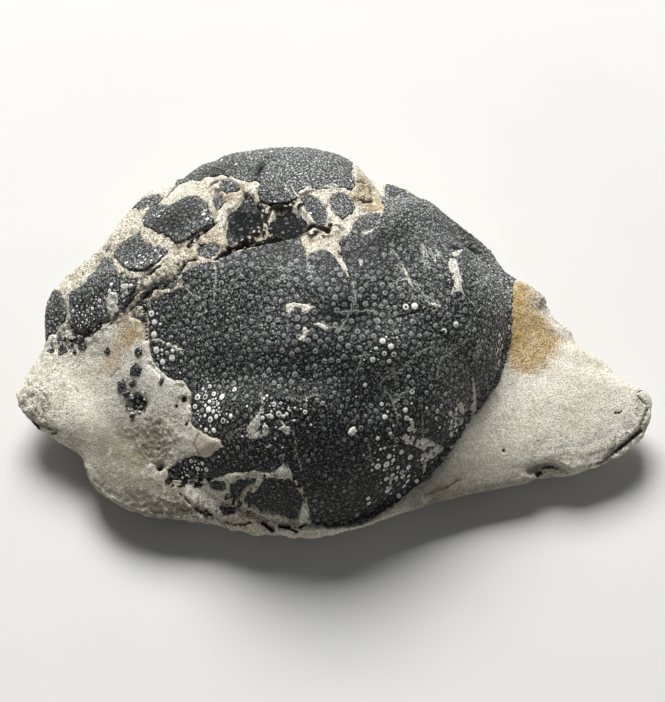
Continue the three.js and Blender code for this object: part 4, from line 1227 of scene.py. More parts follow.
def rough_parts(places, rugged):
    """The stone's fine relief, and how deep each point lies in it, from -1 to 1."""
    lumps = fractal(places, *LUMPS)
    grit = fractal(places, *GRIT)
    relief = (0.04 + 0.36 * rugged) * lumps + (0.02 + 0.2 * rugged) * grit
    return relief, np.clip((0.3 + 0.7 * rugged) * (1.2 * lumps + 1.4 * grit), -1, 1)


def stone_level(places, cracked):
    """How far the stone stands from the form along its outward direction."""
    x, y, z = places.T
    level = BAND_LEVEL * np.clip(1.6 * mounds(x, y, [BANDS]), 0, 1) + mounds(x, y, STONE_LEVELS)
    rugged = np.clip(mounds(x, y, RUGGED), 0, 1)
    level += 0.14 * fractal(places, *SWELLS) + rough_parts(places, rugged)[0]
    ledges = fractal(places * LEDGE_STRETCH, *LEDGES)
    side = np.clip((BEDDING_TOP - z) / 2, 0, 1) * np.clip(z / 2, 0, 1)
    side *= 1 - np.clip(mounds(x, y, [WORN_RIM]), 0, 1)
    level += side * (0.35 * ledges + 0.15 * fractal(places, *LEDGE_GRIT))
    if cracked:
        level -= crack_depths(x, y)[0] + 0.3 * edge_gaps(places)
    return level * np.clip(z / 1.5, 0, 1)


# %% The stone's mesh
STONE_STEP = 0.23        # spacing of its points where stone shows
COVERED_STEP = 1.2       # under the plates
UNDERSIDE_STEP = 0.5
STONE_DROP = SHELL_THICKNESS + 0.2           # how far it lies below a plate's outer face
BESIDE = -0.04           # just outside a plate's edge, where the stone starts
UNDER_LIP = 0.3          # inside it, where the stone has dropped to its full depth
RIM_POINTS = 800
RIM_TRIALS = 4000        # close points round the rim, from which the even ones are read


def on_edge(skin, turn):
    """Chart points at the edge of a skin, at the angles given."""
    return directions(turn) * skin.read(skin.length, turn)[:, None]


def rim_line():
    """Points evenly spaced round the rim of the top chart, with their directions."""
    turn = np.arange(RIM_TRIALS) / RIM_TRIALS * FULL_TURN
    ring, _ = top.at(on_edge(top, turn))
    run = np.concatenate([[0], np.cumsum(np.linalg.norm(np.diff(ring, axis=0), axis=1))])
    even = np.interp(np.arange(RIM_POINTS) / RIM_POINTS * run[-1], run, turn)
    return on_edge(top, even), even


def stone_top(rim):
    """The top of the stone: fine where it shows, dropped and coarse under each plate."""
    beside = np.vstack([inset(edge, BESIDE) for edge in EDGES.values()])
    points = [rim, beside[clear_of(beside, rim, 0.15)]]
    drops = [np.zeros(len(some)) for some in points]
    covered = honeycomb(rim, COVERED_STEP)
    fine = filling(rim, STONE_STEP)
    hidden = np.zeros(len(fine), bool)
    for name, edge in EDGES.items():
        hidden |= inside(fine, edge)
        lip = inset(edge, UNDER_LIP)
        for some, least in ((lip, 0.2), (covered, 0.7)):
            some = some[inside(some, edge)]
            some = some[clear_of(some, edge, least)]
            places, _ = top.at(some)
            points.append(some)
            drops.append(lift_of(name, places[:, 0], places[:, 1]) - STONE_DROP)
    fine = fine[~hidden]
    fine = fine[clear_of(fine, np.vstack(points), STONE_STEP * 0.55)]
    points.append(fine)
    drops.append(np.zeros(len(fine)))
    flat, faces, source = triangulated(np.vstack(points), len(rim))
    places, outward = top.at(flat)
    drop = np.concatenate(drops)[source]
    level = np.where(drop < 0, drop, stone_level(places, True))
    rim_vertex = {origin: n for n, origin in enumerate(source.tolist()) if origin < len(rim)}
    return places + outward * level[:, None], faces, [rim_vertex[n] for n in range(len(rim))]


def stone_underside(rim_places, turn):
    """The underside, which takes the places of its rim from the top."""
    rim = on_edge(under, turn)
    filler = filling(rim, UNDERSIDE_STEP)
    filler = filler[clear_of(filler, rim, 0.35)]
    flat, faces, source = triangulated(np.vstack([rim, filler]), len(rim))
    places, outward = under.at(flat)
    places = places + outward * stone_level(places, False)[:, None]
    places[:, 2] = np.maximum(places[:, 2], 0)
    on_rim = source < len(rim)
    places[on_rim] = rim_places[source[on_rim]]
    return places, faces[:, ::-1], source, on_rim


# %% The stone
CLOUDS_OF_FILM_AND_SHADE = (0.9, 4, 13.0)
CLOUDS_OF_PAINTED_LIGHT = (0.6, 3, 17.0)


def stone_values(places):
    """What the marl's finish reads on each point of the stone."""
    x, y, z = places.T
    upper = np.clip((z - 5) / 2, 0, 1)
    rugged = np.clip(mounds(x, y, RUGGED), 0, 1)
    # The films include painted shade in recesses, under ledges and in the pit.
    film_and_shade = mounds(x, y, FILMS_AND_SHADE) * np.clip(0.8 + 2.6 * fractal(places, *CLOUDS_OF_FILM_AND_SHADE), 0, 1)
    stain = stained(x, y, OCHRE) * upper
    # Painted light: it lowers the hollow value, so the marl pales, and clears the films.
    pale = mounds(x, y, PAINTED_LIGHT) * np.clip(0.9 + 1.6 * fractal(places, *CLOUDS_OF_PAINTED_LIGHT), 0, 1)
    pale *= 1 - np.clip(stain, 0, 1)
    # Painted shade in the cracks, holes and shrunk gaps, with the manganese dots.
    gap_shade = np.maximum(crack_depths(x, y)[1] * upper, 0.9 * edge_gaps(places))
    # The hollow value paints shade into the relief's hollows and light on its high parts.
    return {"ochre": stain,
            "grey_and_shade": np.clip(mounds(x, y, GREY_AND_SHADE), 0, 1),
            "rugged": rugged,
            "hollow_shade_and_light": -rough_parts(places, rugged)[1] - pale,
            "dark": np.maximum(gap_shade, 0.75 * np.clip(film_and_shade - pale, 0, 1))}


def stone_piece():
    """The top and the underside, joined along the rim."""
    rim, turn = rim_line()
    places, faces, rim_vertices = stone_top(rim)
    low_places, low_faces, source, on_rim = stone_underside(places[rim_vertices], turn)
    number = np.arange(len(low_places)) + len(places)
    number[on_rim] = np.array(rim_vertices)[source[on_rim]]
    everything = np.vstack([places, low_places])
    used, all_faces = np.unique(np.vstack([faces, number[low_faces]]), return_inverse=True)
    everything = everything[used]
    return make_piece("marl_nodule", everything, all_faces.reshape(-1, 3),
                      stone_values(everything), "marl", "matrix")


stone = stone_piece()

# %% [markdown]
# ## Marl left on the shell, and shell left on the marl
#
# Whoever cleaned the fossil left some of the stone in the shell's cracks, and the broken edges
# shed crumbs of shell on to the stone. The patches of marl are thin pads whose rims dip
# under the shell's granules, so that their outlines come out ragged by themselves.

# %% Patches of marl on the shell
# Outlines on the plan.
MARL_PATCHES = [
    [(-6.8, -1.8), (-5.5, -1.7), (-4.2, -2), (-3.1, -2.3), (-2.1, -2.7), (-2.9, -3.1),
     (-3.4, -3.7), (-4.2, -3.8), (-4.7, -2.9), (-5.3, -2.5), (-6.1, -3.6), (-6.8, -3.4)],
    [(-4.3, -5.4), (-3.9, -5.3), (-3.5, -5.8), (-3, -6), (-3.5, -6.4), (-3.8, -6.9), (-4, -7.6),
     (-4.6, -7.6), (-4.9, -7.1), (-4.6, -6.3)],
    [(-2.8, -5), (-2.1, -4.9), (-0.6, -5.4), (-0.4, -5.9), (-0.9, -6.3), (-1.8, -5.8),
     (-2.6, -5.5)],
    [(11, -15.7), (11.5, -15.6), (12, -16.2), (12.5, -16.6), (11.7, -17), (11.2, -16.5)],
    [(8.3, -21.6), (8.6, -21.7), (8.7, -22.1), (8.3, -22.2)],
    [(20.4, -7.4), (20.8, -7.4), (21.3, -8.2), (21.7, -9), (21.2, -9.9), (20.4, -9.9),
     (20.8, -9.1), (20.7, -8.4)],
    [(18.2, -11.3), (18.9, -10.7), (19.4, -10.5), (19.5, -10.9), (18.9, -11.6)],
    [(17, -12.8), (17.6, -12.3), (17.6, -12.8), (17.2, -13.2)],
    [(-10, -15.3), (-10.4, -16.8), (-10.4, -18.2), (-10.6, -19.1), (-11.9, -19.1), (-12.5, -18.4),
     (-12.4, -17.6), (-11.6, -16.9), (-10.8, -16.2)],
    [(-10.1, -17.8), (-9.6, -17.5), (-9.2, -18.2), (-8.8, -18.7), (-9.6, -19.1), (-10.3, -18.8)],
    [(-7.8, -17.4), (-7, -17.5), (-6.6, -18), (-6, -18.1), (-6, -19.1), (-6.7, -19.2),
     (-7.4, -18.6), (-8, -18.5), (-7.4, -18.1)],
    [(-9.8, -16.6), (-8.8, -16.5), (-8.6, -17.1), (-9.3, -17.2)],
    [(-9.7, -20), (-9, -19.6), (-8.5, -20.2), (-9.3, -20.3)],
    [(-8.6, -22.5), (-7.4, -22.6), (-7.2, -21.9), (-6.4, -22.4), (-5.6, -23.1), (-6.9, -23.6),
     (-7.6, -23.2)],
    [(17.2, 7.9), (18.2, 8.6), (18.6, 7.2), (18.8, 5.7), (19.1, 4.1), (19.2, 2.7), (19.8, 1.3),
     (18.8, 2.2), (17.9, 1.9), (16.6, 0.6), (17.5, 2.2), (17.9, 3.3), (17.5, 4.5), (17, 5.7),
     (16.8, 6.9)],
    [(17.6, 8.5), (17.8, 9.7), (18.8, 11.1), (20, 12.6), (19.4, 10.8), (18.4, 8.7)],
    [(13.2, -0.1), (14.3, -0.3), (15, -0.1), (16.1, -0.6), (15.2, -1.3), (14.1, -1)],
    [(10.1, 5.2), (10.6, 4.3), (11.3, 3.1), (11.2, 2.2), (10.5, 3.1), (10, 4.2)],
    [(10.6, 2.5), (11.3, 2.7), (11.9, 1.6), (12.9, 0.4), (11.8, 1), (11.1, 1.7)],
    [(9, 1.5), (10.2, 2.6), (11, 2.7), (10.9, 2.2), (10, 2)], [(3.7, 5), (4.6, 4.8), (4.2, 3.2)],
    [(-27.2, -1.9), (-26.4, -1.8), (-24.7, -2.6), (-23.1, -3.5), (-21.2, -4.7), (-22.7, -4.6),
     (-24.2, -3.6), (-25.9, -2.6)],
    [(-33.7, 5.2), (-32.8, 5.8), (-31.8, 5.5), (-31.6, 4.5), (-31.6, 3.1), (-32.7, 2.2),
     (-33.3, 3.6)],
    [(-31.5, 6), (-30.8, 6.3), (-29.8, 5.7), (-30.2, 5.1), (-31.1, 5.3)],
    [(-5, 19), (-4.1, 19.9), (-3.1, 19.5), (-2.1, 18.7), (-3.5, 18.9)],
    [(-1.6, 19.3), (-0.4, 19.7), (0.7, 19.4), (1.3, 20), (0.1, 20.2)],
    [(-6.7, 20.5), (-6, 19.8), (-4.9, 17.7), (-5.5, 17.6)],
    [(4, 9.9), (5.5, 10.7), (6.2, 11.6), (5.9, 10.3), (4.7, 9.6)],
    [(-5.6, 18), (-4.8, 18.8), (-3.9, 19.4), (-3.1, 19.2), (-1.9, 19.8), (-2.2, 19.3),
     (-3.2, 18.7), (-4.5, 18.1)],
    [(-1.9, 19.3), (-0.7, 20.1), (0.5, 19.5), (2, 19.3), (2.7, 18.9), (1.2, 18.9), (-0.5, 19.2)],
]
# Worn so thin that the granules poke through.
MARL_FILMS = [
    [(9.8, -17.9), (10.4, -17.4), (11.1, -17.1), (12.4, -17.3), (13.4, -16.8), (14.7, -16.6),
     (15.8, -16.1), (16.5, -15.8), (15.4, -16.9), (14.7, -17.6), (13.7, -18.4), (13, -18.6),
     (13.2, -17.9), (11.6, -18.1), (10.7, -18.2)],
    [(13.4, -18.6), (13.8, -18.4), (13.6, -19.4), (13.2, -19.6)],
    [(-31.7, 5.2), (-30.9, 6), (-29.8, 5.9), (-29, 5.3), (-29.9, 5.2), (-29.8, 4.4), (-30.7, 4.2),
     (-31.4, 4.5)],
]
# Round bits: place and radius.
MARL_DOTS = [
    ((-7.4, -20.3), 0.3), ((-9, -20), 0.35), ((-8.2, -20.6), 0.25), ((-7, -21.2), 0.25),
    ((-8.8, -16.9), 0.35), ((-7.1, -17), 0.35), ((-5.4, -16.2), 0.3), ((-8.7, -15.2), 0.25),
    ((-4.9, -19.9), 0.2), ((8.4, -17.8), 0.4), ((18.9, -10.8), 0.35), ((19.8, -10.5), 0.3),
    ((18.1, -12.3), 0.4), ((19.3, -11.1), 0.4), ((-13, -18.5), 0.3), ((-16.8, 5.8), 0.35),
    ((-18.4, 6.2), 0.3), ((8.5, -22.3), 0.4), ((8.7, -21.7), 0.3), ((7.8, -21.3), 0.25),
    ((10.7, -18.2), 0.3), ((3.2, -20.3), 0.2), ((-17.8, 14.5), 0.3), ((2.9, -18.6), 0.75),
    ((-5.5, -17.6), 0.33), ((-8.2, -19.4), 0.28), ((16.5, -14.3), 0.27), ((17.4, -13.6), 0.3),
    ((18.2, -12.7), 0.28), ((19.2, -11.6), 0.3), ((16.4, -14.8), 0.2), ((17.4, -14.1), 0.2),
    ((18.4, -13), 0.2),
]

# %% Pads of marl
# How high a kind stands on the shell, and how deep its surface is worn.
PATCH_STAND = (0.03, 0.19)
FILM_STAND = (-0.03, 0.34)
DOT_STAND = (0.2, 0)
PATCH_STEP = 0.2
PAD_RIM = -0.3           # how far the rim of a pad dips into the shell
PAD_BOTTOM = -0.45
PAD_SHOULDER = 0.25      # distance from its rim at which a pad has risen to its full height
PAD_WAVER = ((0.9, 0.2), (0.35, 0.14))
DOT_POINTS = 14


def dot(place, radius):
    """The chart of a round bit's edge."""
    middle = top.chart_of([place])
    circle = radius * directions(np.arange(DOT_POINTS) / DOT_POINTS * FULL_TURN)
    return middle + circle @ skin_to_chart(middle)[0].T


def lift_below(edge):
    """How far the plate under the middle of an edge has moved."""
    middle = edge.mean(axis=0)[None]
    names = [name for name, plate in EDGES.items() if inside(middle, plate)[0]]
    x, y = top.at(middle)[0][0, :2]
    return lift_of(names[0], x, y) + SHELL_SINK if names else 0.0


def marl_pad(edge, seed, stand, wear):
    """A thin closed pad of marl, its rim sunk into the shell. A worn one has holes."""
    edge = spaced(roughened(edge, PAD_WAVER), PATCH_STEP * 0.4)
    edge = anticlockwise(edge)
    filler = filling(edge, PATCH_STEP)
    filler = filler[clear_of(filler, edge, PATCH_STEP * 0.5)]
    flat, faces, _ = triangulated(np.vstack([edge, filler]), len(edge))
    away = distances(flat, edge)
    places, outward = top.at(flat)
    rise = PAD_RIM + (stand - PAD_RIM) * np.clip(away / PAD_SHOULDER, 0, 1) ** 0.6
    rise += wear * fractal(places, 0.7, 3, 11.0 + seed) * (away > 0.05)
    lift = lift_below(edge)
    above = places + outward * (rise + lift)[:, None]
    below = places + outward * (lift + PAD_BOTTOM)
    count = len(flat)
    walls = walls_down(boundary(faces), np.arange(count) + count)
    return np.vstack([above, below]), np.vstack([faces, walls, faces[:, ::-1] + count])


def gathered(parts):
    """Joins several meshes, each a tuple of places, triangles and further arrays."""
    start = 0
    columns = [[] for _ in parts[0]]
    for part in parts:
        for column, values in zip(columns, (part[0], part[1] + start, *part[2:])):
            column.append(values)
        start += len(part[0])
    return [np.vstack(column) for column in columns]


pad_edges = []
for outlines, kind in ((MARL_PATCHES, PATCH_STAND), (MARL_FILMS, FILM_STAND)):
    pad_edges += [(top.chart_of(stepped(outline, PATCH_STEP, True)), kind) for outline in outlines]
pad_edges += [(dot(*at), DOT_STAND) for at in MARL_DOTS]
pad_parts = [marl_pad(edge, seed, *kind) for seed, (edge, kind) in enumerate(pad_edges)]
places, faces = gathered(pad_parts)
# At -0.9 the hollow value gives the pads the palest marl, its painted-light end.
pad_values = {"rugged": np.full(len(places), 0.4), "hollow_shade_and_light": np.full(len(places), -0.9)}
pads = make_piece("marl_on_shell", places, faces, pad_values, "marl")

# %% Where crumbs of shell lie on the stone
# Place on the plan, radius, lift.
CRUMBS = [
    ((-41, 2), 0.85, 0), ((-42.4, 0.6), 0.8, 0), ((-40.8, 0.4), 0.8, 0.05),
    ((-39.1, 0.8), 0.4, 0), ((-37.8, 1.3), 0.65, 0.05), ((-37.5, 0.1), 0.5, 0),
    ((-38.7, -0.1), 0.35, 0), ((-33.3, -1.4), 0.55, -0.2), ((-28.3, -3), 0.75, 0),
    ((-28.5, -5.3), 0.85, 0.1), ((-30.9, -6.5), 0.85, 0.1), ((-30.3, -7.7), 0.5, 0.05),
    ((-29.2, -6.6), 0.5, 0), ((-34.8, 16.3), 0.85, 0), ((-37.2, 18.9), 0.7, 0),
    ((-12, 9.3), 0.6, -0.5), ((-11.1, 9.8), 0.45, -0.6), ((-15.5, -24.6), 0.75, 0),
    ((-18.7, -24.7), 0.3, 0), ((1.1, 6.3), 0.4, 0), ((-2.1, 6.2), 0.35, -0.1),
    ((-23.5, 11.2), 0.5, -0.1), ((-22.3, 9.8), 0.45, -0.1), ((-24.9, -7.5), 0.4, 0),
    ((-13.7, -22.3), 0.5, -0.1), ((-11.4, -22.7), 0.5, -0.1), ((-13, 8.2), 0.35, -0.3),
    ((31.4, 6.9), 0.55, 0), ((-14.7, 7.9), 0.3, -0.3), ((-16.4, 18), 0.4, -0.1),
    ((-29.6, 10.2), 0.35, 0),
]
# Outlines on the plan that are strewn with crumbs, and how many.
RUBBLE = [
    ([(-29.9, 3.7), (-28.4, 4.6), (-26.8, 5), (-25.3, 5.4), (-24.6, 6.7), (-23, 7.5),
      (-20.6, 8.1), (-19.5, 6.7), (-22, 6), (-22.7, 3.8), (-25.2, 3.5), (-27.5, 3.4), (-27.9, 1),
      (-28.7, 1.4), (-29.9, 2.4)], 44),
    ([(-19.6, 9.4), (-17.1, 11), (-16.4, 12.1), (-19.1, 12.1), (-21.4, 10.2)], 7),
    ([(-17, -22.6), (-13.6, -23.6), (-10, -26), (-12, -26.5), (-17.4, -24)], 7),
]

# %% Crumbs of shell
CRUMB_CORNERS = 9
CRUMB_GRANULE = 0.24
CRUMB_THICKNESS = 0.7
CRUMB_WAVER = ((0.5, 0.12),)
THROWS = 6               # spots tried for each crumb strewn
# The least, and how much more luck gives.
REACH_LUCK = (0.6, 0.75)     # of a corner, against the radius
RADIUS_LUCK = (0.22, 0.3)    # of a crumb strewn
LIFT_LUCK = (-0.25, 0.35)


def crumb(place, radius, lift):
    """A solid crumb of shell, bedded in the stone."""
    corners = np.arange(CRUMB_CORNERS) + 0.7 * rng.random(CRUMB_CORNERS)
    turn = corners / CRUMB_CORNERS * FULL_TURN
    reach = radius * by_luck(REACH_LUCK, rng.random(CRUMB_CORNERS))
    outline = np.array(place) + reach[:, None] * directions(turn)
    level = lift + float(mounds(*place, STONE_LEVELS)) + BAND_LEVEL * (place[1] > 2)
    edge = broken_edge(outline, CRUMB_WAVER)
    return shell_mesh(edge, CRUMB_GRANULE, lambda x, y: np.full(len(x), level), CRUMB_THICKNESS)


def strewn(outline, count):
    """Places, radii and lifts of crumbs at random spots inside an outline."""
    outline = np.array(outline)
    low, high = outline.min(axis=0), outline.max(axis=0)
    spots = low + rng.random((count * THROWS, 2)) * (high - low)
    spots = spots[inside(spots, outline)][:count]
    return [(spot, by_luck(RADIUS_LUCK, rng.random()), by_luck(LIFT_LUCK, rng.random()))
            for spot in spots]


for outline, count in RUBBLE:
    CRUMBS += strewn(outline, count)
places, faces, carried = gathered([crumb(*crumb_at) for crumb_at in CRUMBS])
crumbs = make_piece("shell_crumbs", places, faces, shell_values(places, carried), "shell")
shell_pieces.append(crumbs)

# %% [markdown]
# ## Crystals in the pit
#
# A small pit on the left is lined with dark calcite crystals, a few of them bright. Calcite
# grows as blunt six-sided points, so each is a short prism with a pointed end, tilted at
# random out of the bottom of the pit.

# %% Calcite
PIT = (-28.8, -9.5)
PIT_RADIUS = 1.6
CRYSTALS = 90
CRYSTAL_SIDES = 6
CRYSTAL_LUCK = (0.12, 0.14)  # radius: the least, and how much more luck gives
SCATTER = 0.45           # of spots against the pit's radius, and of the crystals' tilt
CRYSTAL_LENGTH = 3.2     # against its radius
PRISM_SHARE = 0.55       # of the length, below the pointed end
BRIGHT_SHARE = 0.3       # of the crystals


def crystal(middle, axis, radius, length):
    """A six-sided prism with a pointed end, closed at the foot."""
    side = np.cross(axis, (0.31, 0.87, 0.38))
    side /= np.linalg.norm(side)
    other = np.cross(axis, side)
    turn = np.arange(CRYSTAL_SIDES) / CRYSTAL_SIDES * FULL_TURN
    ring = radius * (np.cos(turn)[:, None] * side + np.sin(turn)[:, None] * other)
    places = np.vstack([middle + ring, middle + ring + axis * length * PRISM_SHARE,
                        [middle + axis * length], [middle]])
    point = 2 * CRYSTAL_SIDES
    foot = point + 1
    faces = []
    for n in range(CRYSTAL_SIDES):
        m = (n + 1) % CRYSTAL_SIDES
        over_n, over_m = n + CRYSTAL_SIDES, m + CRYSTAL_SIDES
        faces += [(n, m, over_m), (n, over_m, over_n), (over_n, over_m, point), (m, n, foot)]
    return places, np.array(faces)


def pit_crystals():
    """Crystals strewn over the bottom of the pit, as one piece."""
    parts = []
    bright = []
    for _ in range(CRYSTALS):
        spot = np.array(PIT) + rng.normal(0, SCATTER * PIT_RADIUS, 2)
        away = np.hypot(*(spot - PIT)) / PIT_RADIUS
        if away > 1.1:
            continue
        ground, outward = top.at(top.chart_of([spot]))
        depth = float(mounds(*spot, STONE_LEVELS)) + 0.1
        axis = outward[0] + rng.normal(0, SCATTER, 3)
        axis /= np.linalg.norm(axis)
        size = by_luck(CRYSTAL_LUCK, rng.random())
        made = crystal(ground[0] + outward[0] * depth, axis, size, size * CRYSTAL_LENGTH)
        parts.append(made)
        bright += [float(rng.random() < BRIGHT_SHARE)] * len(made[0])
    places, faces = gathered(parts)
    piece = make_piece("pit_calcite", places, faces, {"bright": bright}, "marl")
    piece.data.polygons.foreach_set("use_smooth", np.zeros(len(faces), bool))
    return piece


calcite_piece = pit_crystals()

# %% [markdown]
# ## Materials
#
# Two finishes cover nearly all of it: mineralised shell and dry marl. Both are built from
# nodes that read the object's own coordinates, so the grain is as large on one piece as on
# another. Each starts from a base colour, and further colours are laid over it one by one,
# each by the share of it that shows.


# %% Colours and nodes
def linear(hex_colour):
    """An sRGB hex colour as linear red, green, blue and alpha."""
    channels = [int(hex_colour[n:n + 2], 16) / 255 for n in (1, 3, 5)]
    return (*[c / 12.92 if c <= 0.04045 else ((c + 0.055) / 1.055) ** 2.4
              for c in channels], 1.0)


def new_material(name):
    """A material with no nodes yet."""
    material = bpy.data.materials.new(name)
    material.use_nodes = True
    material.node_tree.nodes.clear()
    return material


def node(material, kind, settings=None, **links):
    """Adds a node, sets its properties, and sets or links its inputs. An input is named by
    its label, with _ for a space, or by its number, as i0, i1 and so on."""
    made = material.node_tree.nodes.new(kind)
    for key, value in (settings or {}).items():
        setattr(made, key, value)
    for key, value in links.items():
        number = key[0] == "i" and key[1:].isdigit()
        socket = made.inputs[int(key[1:])] if number else made.inputs[key.replace("_", " ")]
        if isinstance(value, bpy.types.NodeSocket):
            material.node_tree.links.new(value, socket)
        else:
            socket.default_value = value
    return made


# %% What the finishes are put together from
def carried_values(m, *keys):
    """Values that each point of the mesh carries."""
    return [node(m, "ShaderNodeAttribute", {"attribute_name": key}).outputs["Fac"]
            for key in keys]


def own_place(m):
    """The object's own coordinates."""
    return node(m, "ShaderNodeTexCoord").outputs["Object"]


def cloudy(m, where, size, detail, roughness=0.5):
    """Cloudy noise with swells of a size in mm."""
    return node(m, "ShaderNodeTexNoise", {}, Vector=where, Scale=1 / (size * MM),
                Detail=detail, Roughness=roughness).outputs["Fac"]


def ramp(m, value, low, high, to_low=0.0, to_high=1.0, kind="LINEAR"):
    """Turns the range from low to high into another one."""
    return node(m, "ShaderNodeMapRange", {"interpolation_type": kind}, Value=value,
                From_Min=low, From_Max=high, To_Min=to_low, To_Max=to_high).outputs["Result"]


def maths(m, operation, *values, clamp=False):
    """One sum. A clamped one stays between 0 and 1."""
    numbered = {f"i{n}": value for n, value in enumerate(values)}
    settings = {"operation": operation, "use_clamp": clamp}
    return node(m, "ShaderNodeMath", settings, **numbered).outputs[0]


def times(m, value, by, clamp=False):
    """value × by"""
    return maths(m, "MULTIPLY", value, by, clamp=clamp)


def times_plus(m, value, by, plus, clamp=False):
    """value × by + plus"""
    return maths(m, "MULTIPLY_ADD", value, by, plus, clamp=clamp)


def laid_over(m, share, below, above):
    """A colour laid over another one by a share from 0 to 1. Either may be a hex colour."""
    below, above = (linear(colour) if isinstance(colour, str) else colour
                    for colour in (below, above))
    return node(m, "ShaderNodeMix", {"data_type": "RGBA"}, i0=share, i6=below,
                i7=above).outputs[2]


def bumped(m, height, strength, depth):
    """Outward directions that a relief of that depth in mm would have."""
    return node(m, "ShaderNodeBump", {}, Strength=strength, Distance=depth * MM,
                Height=height).outputs["Normal"]


def surfaced(m, **inputs):
    """Gives the material its surface."""
    shader = node(m, "ShaderNodeBsdfPrincipled", {}, **inputs)
    node(m, "ShaderNodeOutputMaterial", {}, Surface=shader.outputs[0])
    return m


# %% [markdown]
# ### Dry marl
#
# Marl is clay and lime, dried out and never polished: very matt, cream to grey, with a fine
# grain, pin holes, soft ochre stains of iron, and dark dots of manganese. Clouds of three
# sizes give the base its unevenness, and what each point carries says where the stains, the
# grey patches, the rough parts and the black films are. Part of it is painted light and shade:
# shade in the hollows, cracks and gaps, on some grey patches and films, and light on high parts.


# %% Dry marl
def dry_marl():
    m = new_material("dry_marl")
    where = own_place(m)
    ochre, grey_and_shade, dark, rugged, hollow_shade_and_light = carried_values(
        m, "ochre", "grey_and_shade", "dark", "rugged", "hollow_shade_and_light")
    broad = cloudy(m, where, 7, 5.0, 0.6)
    blotch = cloudy(m, where, 1.6, 4.0, 0.65)
    grain = cloudy(m, where, 0.24, 3.0, 0.6)
    soil = cloudy(m, where, 0.8, 4.0, 0.7)
    pores = node(m, "ShaderNodeTexVoronoi", {}, Vector=where, Scale=1 / (0.7 * MM),
                 Randomness=1.0).outputs["Distance"]
    blotches = ramp(m, blotch, 0.35, 0.7)
    coarse = maths(m, "MAXIMUM", rugged, ochre)
    stain = times(m, times_plus(m, blotches, 0.2, 0.8), ochre, clamp=True)
    base = laid_over(m, ramp(m, broad, 0.35, 0.65), "#e5dfce", "#f0ecdf")
    grained = times(m, ramp(m, grain, 0.46, 0.58), times_plus(m, coarse, 0.45, 0.5))
    soiled = times(m, ramp(m, soil, 0.53, 0.66, to_high=0.8), rugged)
    for share, colour in (
            (times(m, blotches, 0.16), "#b9ad93"),                     # faint blotches
            (stain, "#c19f64"),                                        # iron
            (grey_and_shade, "#8d887b"),                                         # duller grey marl, and painted shade
            (ramp(m, hollow_shade_and_light, 0.05, 0.9, to_high=0.7), "#6f6146"),      # painted shade in the hollows
            (ramp(m, hollow_shade_and_light, -0.1, -0.9, to_high=0.62), "#f4f1e8"),    # painted light on the high parts
            (grained, "#766a4f"),                                      # coarse dark grains
            (times(m, ramp(m, pores, 0.2, 0.08), 0.5), "#5c5444"),     # pin holes
            (soiled, "#5f523b"),                                       # soil on rough parts
            (ramp(m, dark, 0.25, 0.75, kind="SMOOTHSTEP"), "#1d1a16")):    # films, and painted shade in gaps
        base = laid_over(m, share, base, colour)
    return surfaced(m, Base_Color=base, Roughness=ramp(m, blotch, 0, 1, 0.84, 0.97),
                    IOR=1.5, Specular_IOR_Level=0.25,
                    Normal=bumped(m, grain, times_plus(m, rugged, 0.4, 0.6), 0.3))


# %% [markdown]
# ### Mineralised shell
#
# The shell's chitin was replaced by dark calcite and phosphate. It is semi-matt, and dusted
# with pale marl where nothing rubs it. Worn granules show the white lime inside. Part of the
# colour is painted light and shade: painted shade nearly black in the grooves, painted glints,
# and a dust value that also paints light, paler towards the lit far side and on some swells.
# Below 0 that value paints shade: the shell is blacker and more matt there, in the sunken
# plates and the hollows.


# %% Mineralised shell
def mineralised_shell():
    m = new_material("mineralised_shell")
    where = own_place(m)
    tip, ring, groove, vein, crack, dust_and_light = carried_values(
        m, "tip", "ring", "groove", "vein", "crack", "dust_and_light")
    mottle = cloudy(m, where, 1.6, 5.0, 0.7)
    speck = cloudy(m, where, 0.26, 2.0, 0.6)
    specks = ramp(m, speck, 0.4, 0.62)
    patchy = times_plus(m, ramp(m, mottle, 0.36, 0.64), 0.5, 0.7)
    # Dust and painted light lift the base towards pale grey.
    dusted_and_lit = laid_over(m, times(m, dust_and_light, patchy, clamp=True), "#222424", "#a6aaa8")
    # Painted glints: specks of highlight, stronger where dust and painted light are high.
    bright = times(m, ramp(m, speck, 0.54, 0.63), times_plus(m, dust_and_light, 0.8, 0.34, clamp=True))
    broken = times_plus(m, specks, 0.5, 0.5)
    chalky = times_plus(m, specks, 0.25, 0.75)
    base = laid_over(m, specks, "#080909", dusted_and_lit)
    worn = times(m, ramp(m, tip, 0.22, 0.5, kind="SMOOTHSTEP"), chalky)
    for share, colour in (
            (bright, "#e0e1db"),                                  # painted glints, more with dust
            (times(m, groove, 0.6), "#060606"),                   # painted shade in grooves and pits
            (times(m, ring, broken), "#a9aeab"),                  # granules worn to rings
            (worn, "#fbfaf4"),                                    # and through to white
            (times(m, vein, broken), "#d6d3c7"),
            (crack, "#14110c"),
            (ramp(m, dust_and_light, 0.0, -0.5, to_high=0.35), "#080808")):     # painted shade: blacker shell
        base = laid_over(m, share, base, colour)
    sheen = ramp(m, mottle, 0.35, 0.65, 0.42, 0.64)
    matt = ramp(m, dust_and_light, 0.0, -0.4, to_high=0.95)
    return surfaced(m, Base_Color=base, Roughness=maths(m, "MAXIMUM", sheen, matt),
                    IOR=1.5, Specular_IOR_Level=0.25, Normal=bumped(m, speck, 0.8, 0.11))


# %% [markdown]
# ### Dark calcite
#
# Clear crystal over dark stone looks nearly black, with sharp glints off its faces. The few
# bright ones are milky.


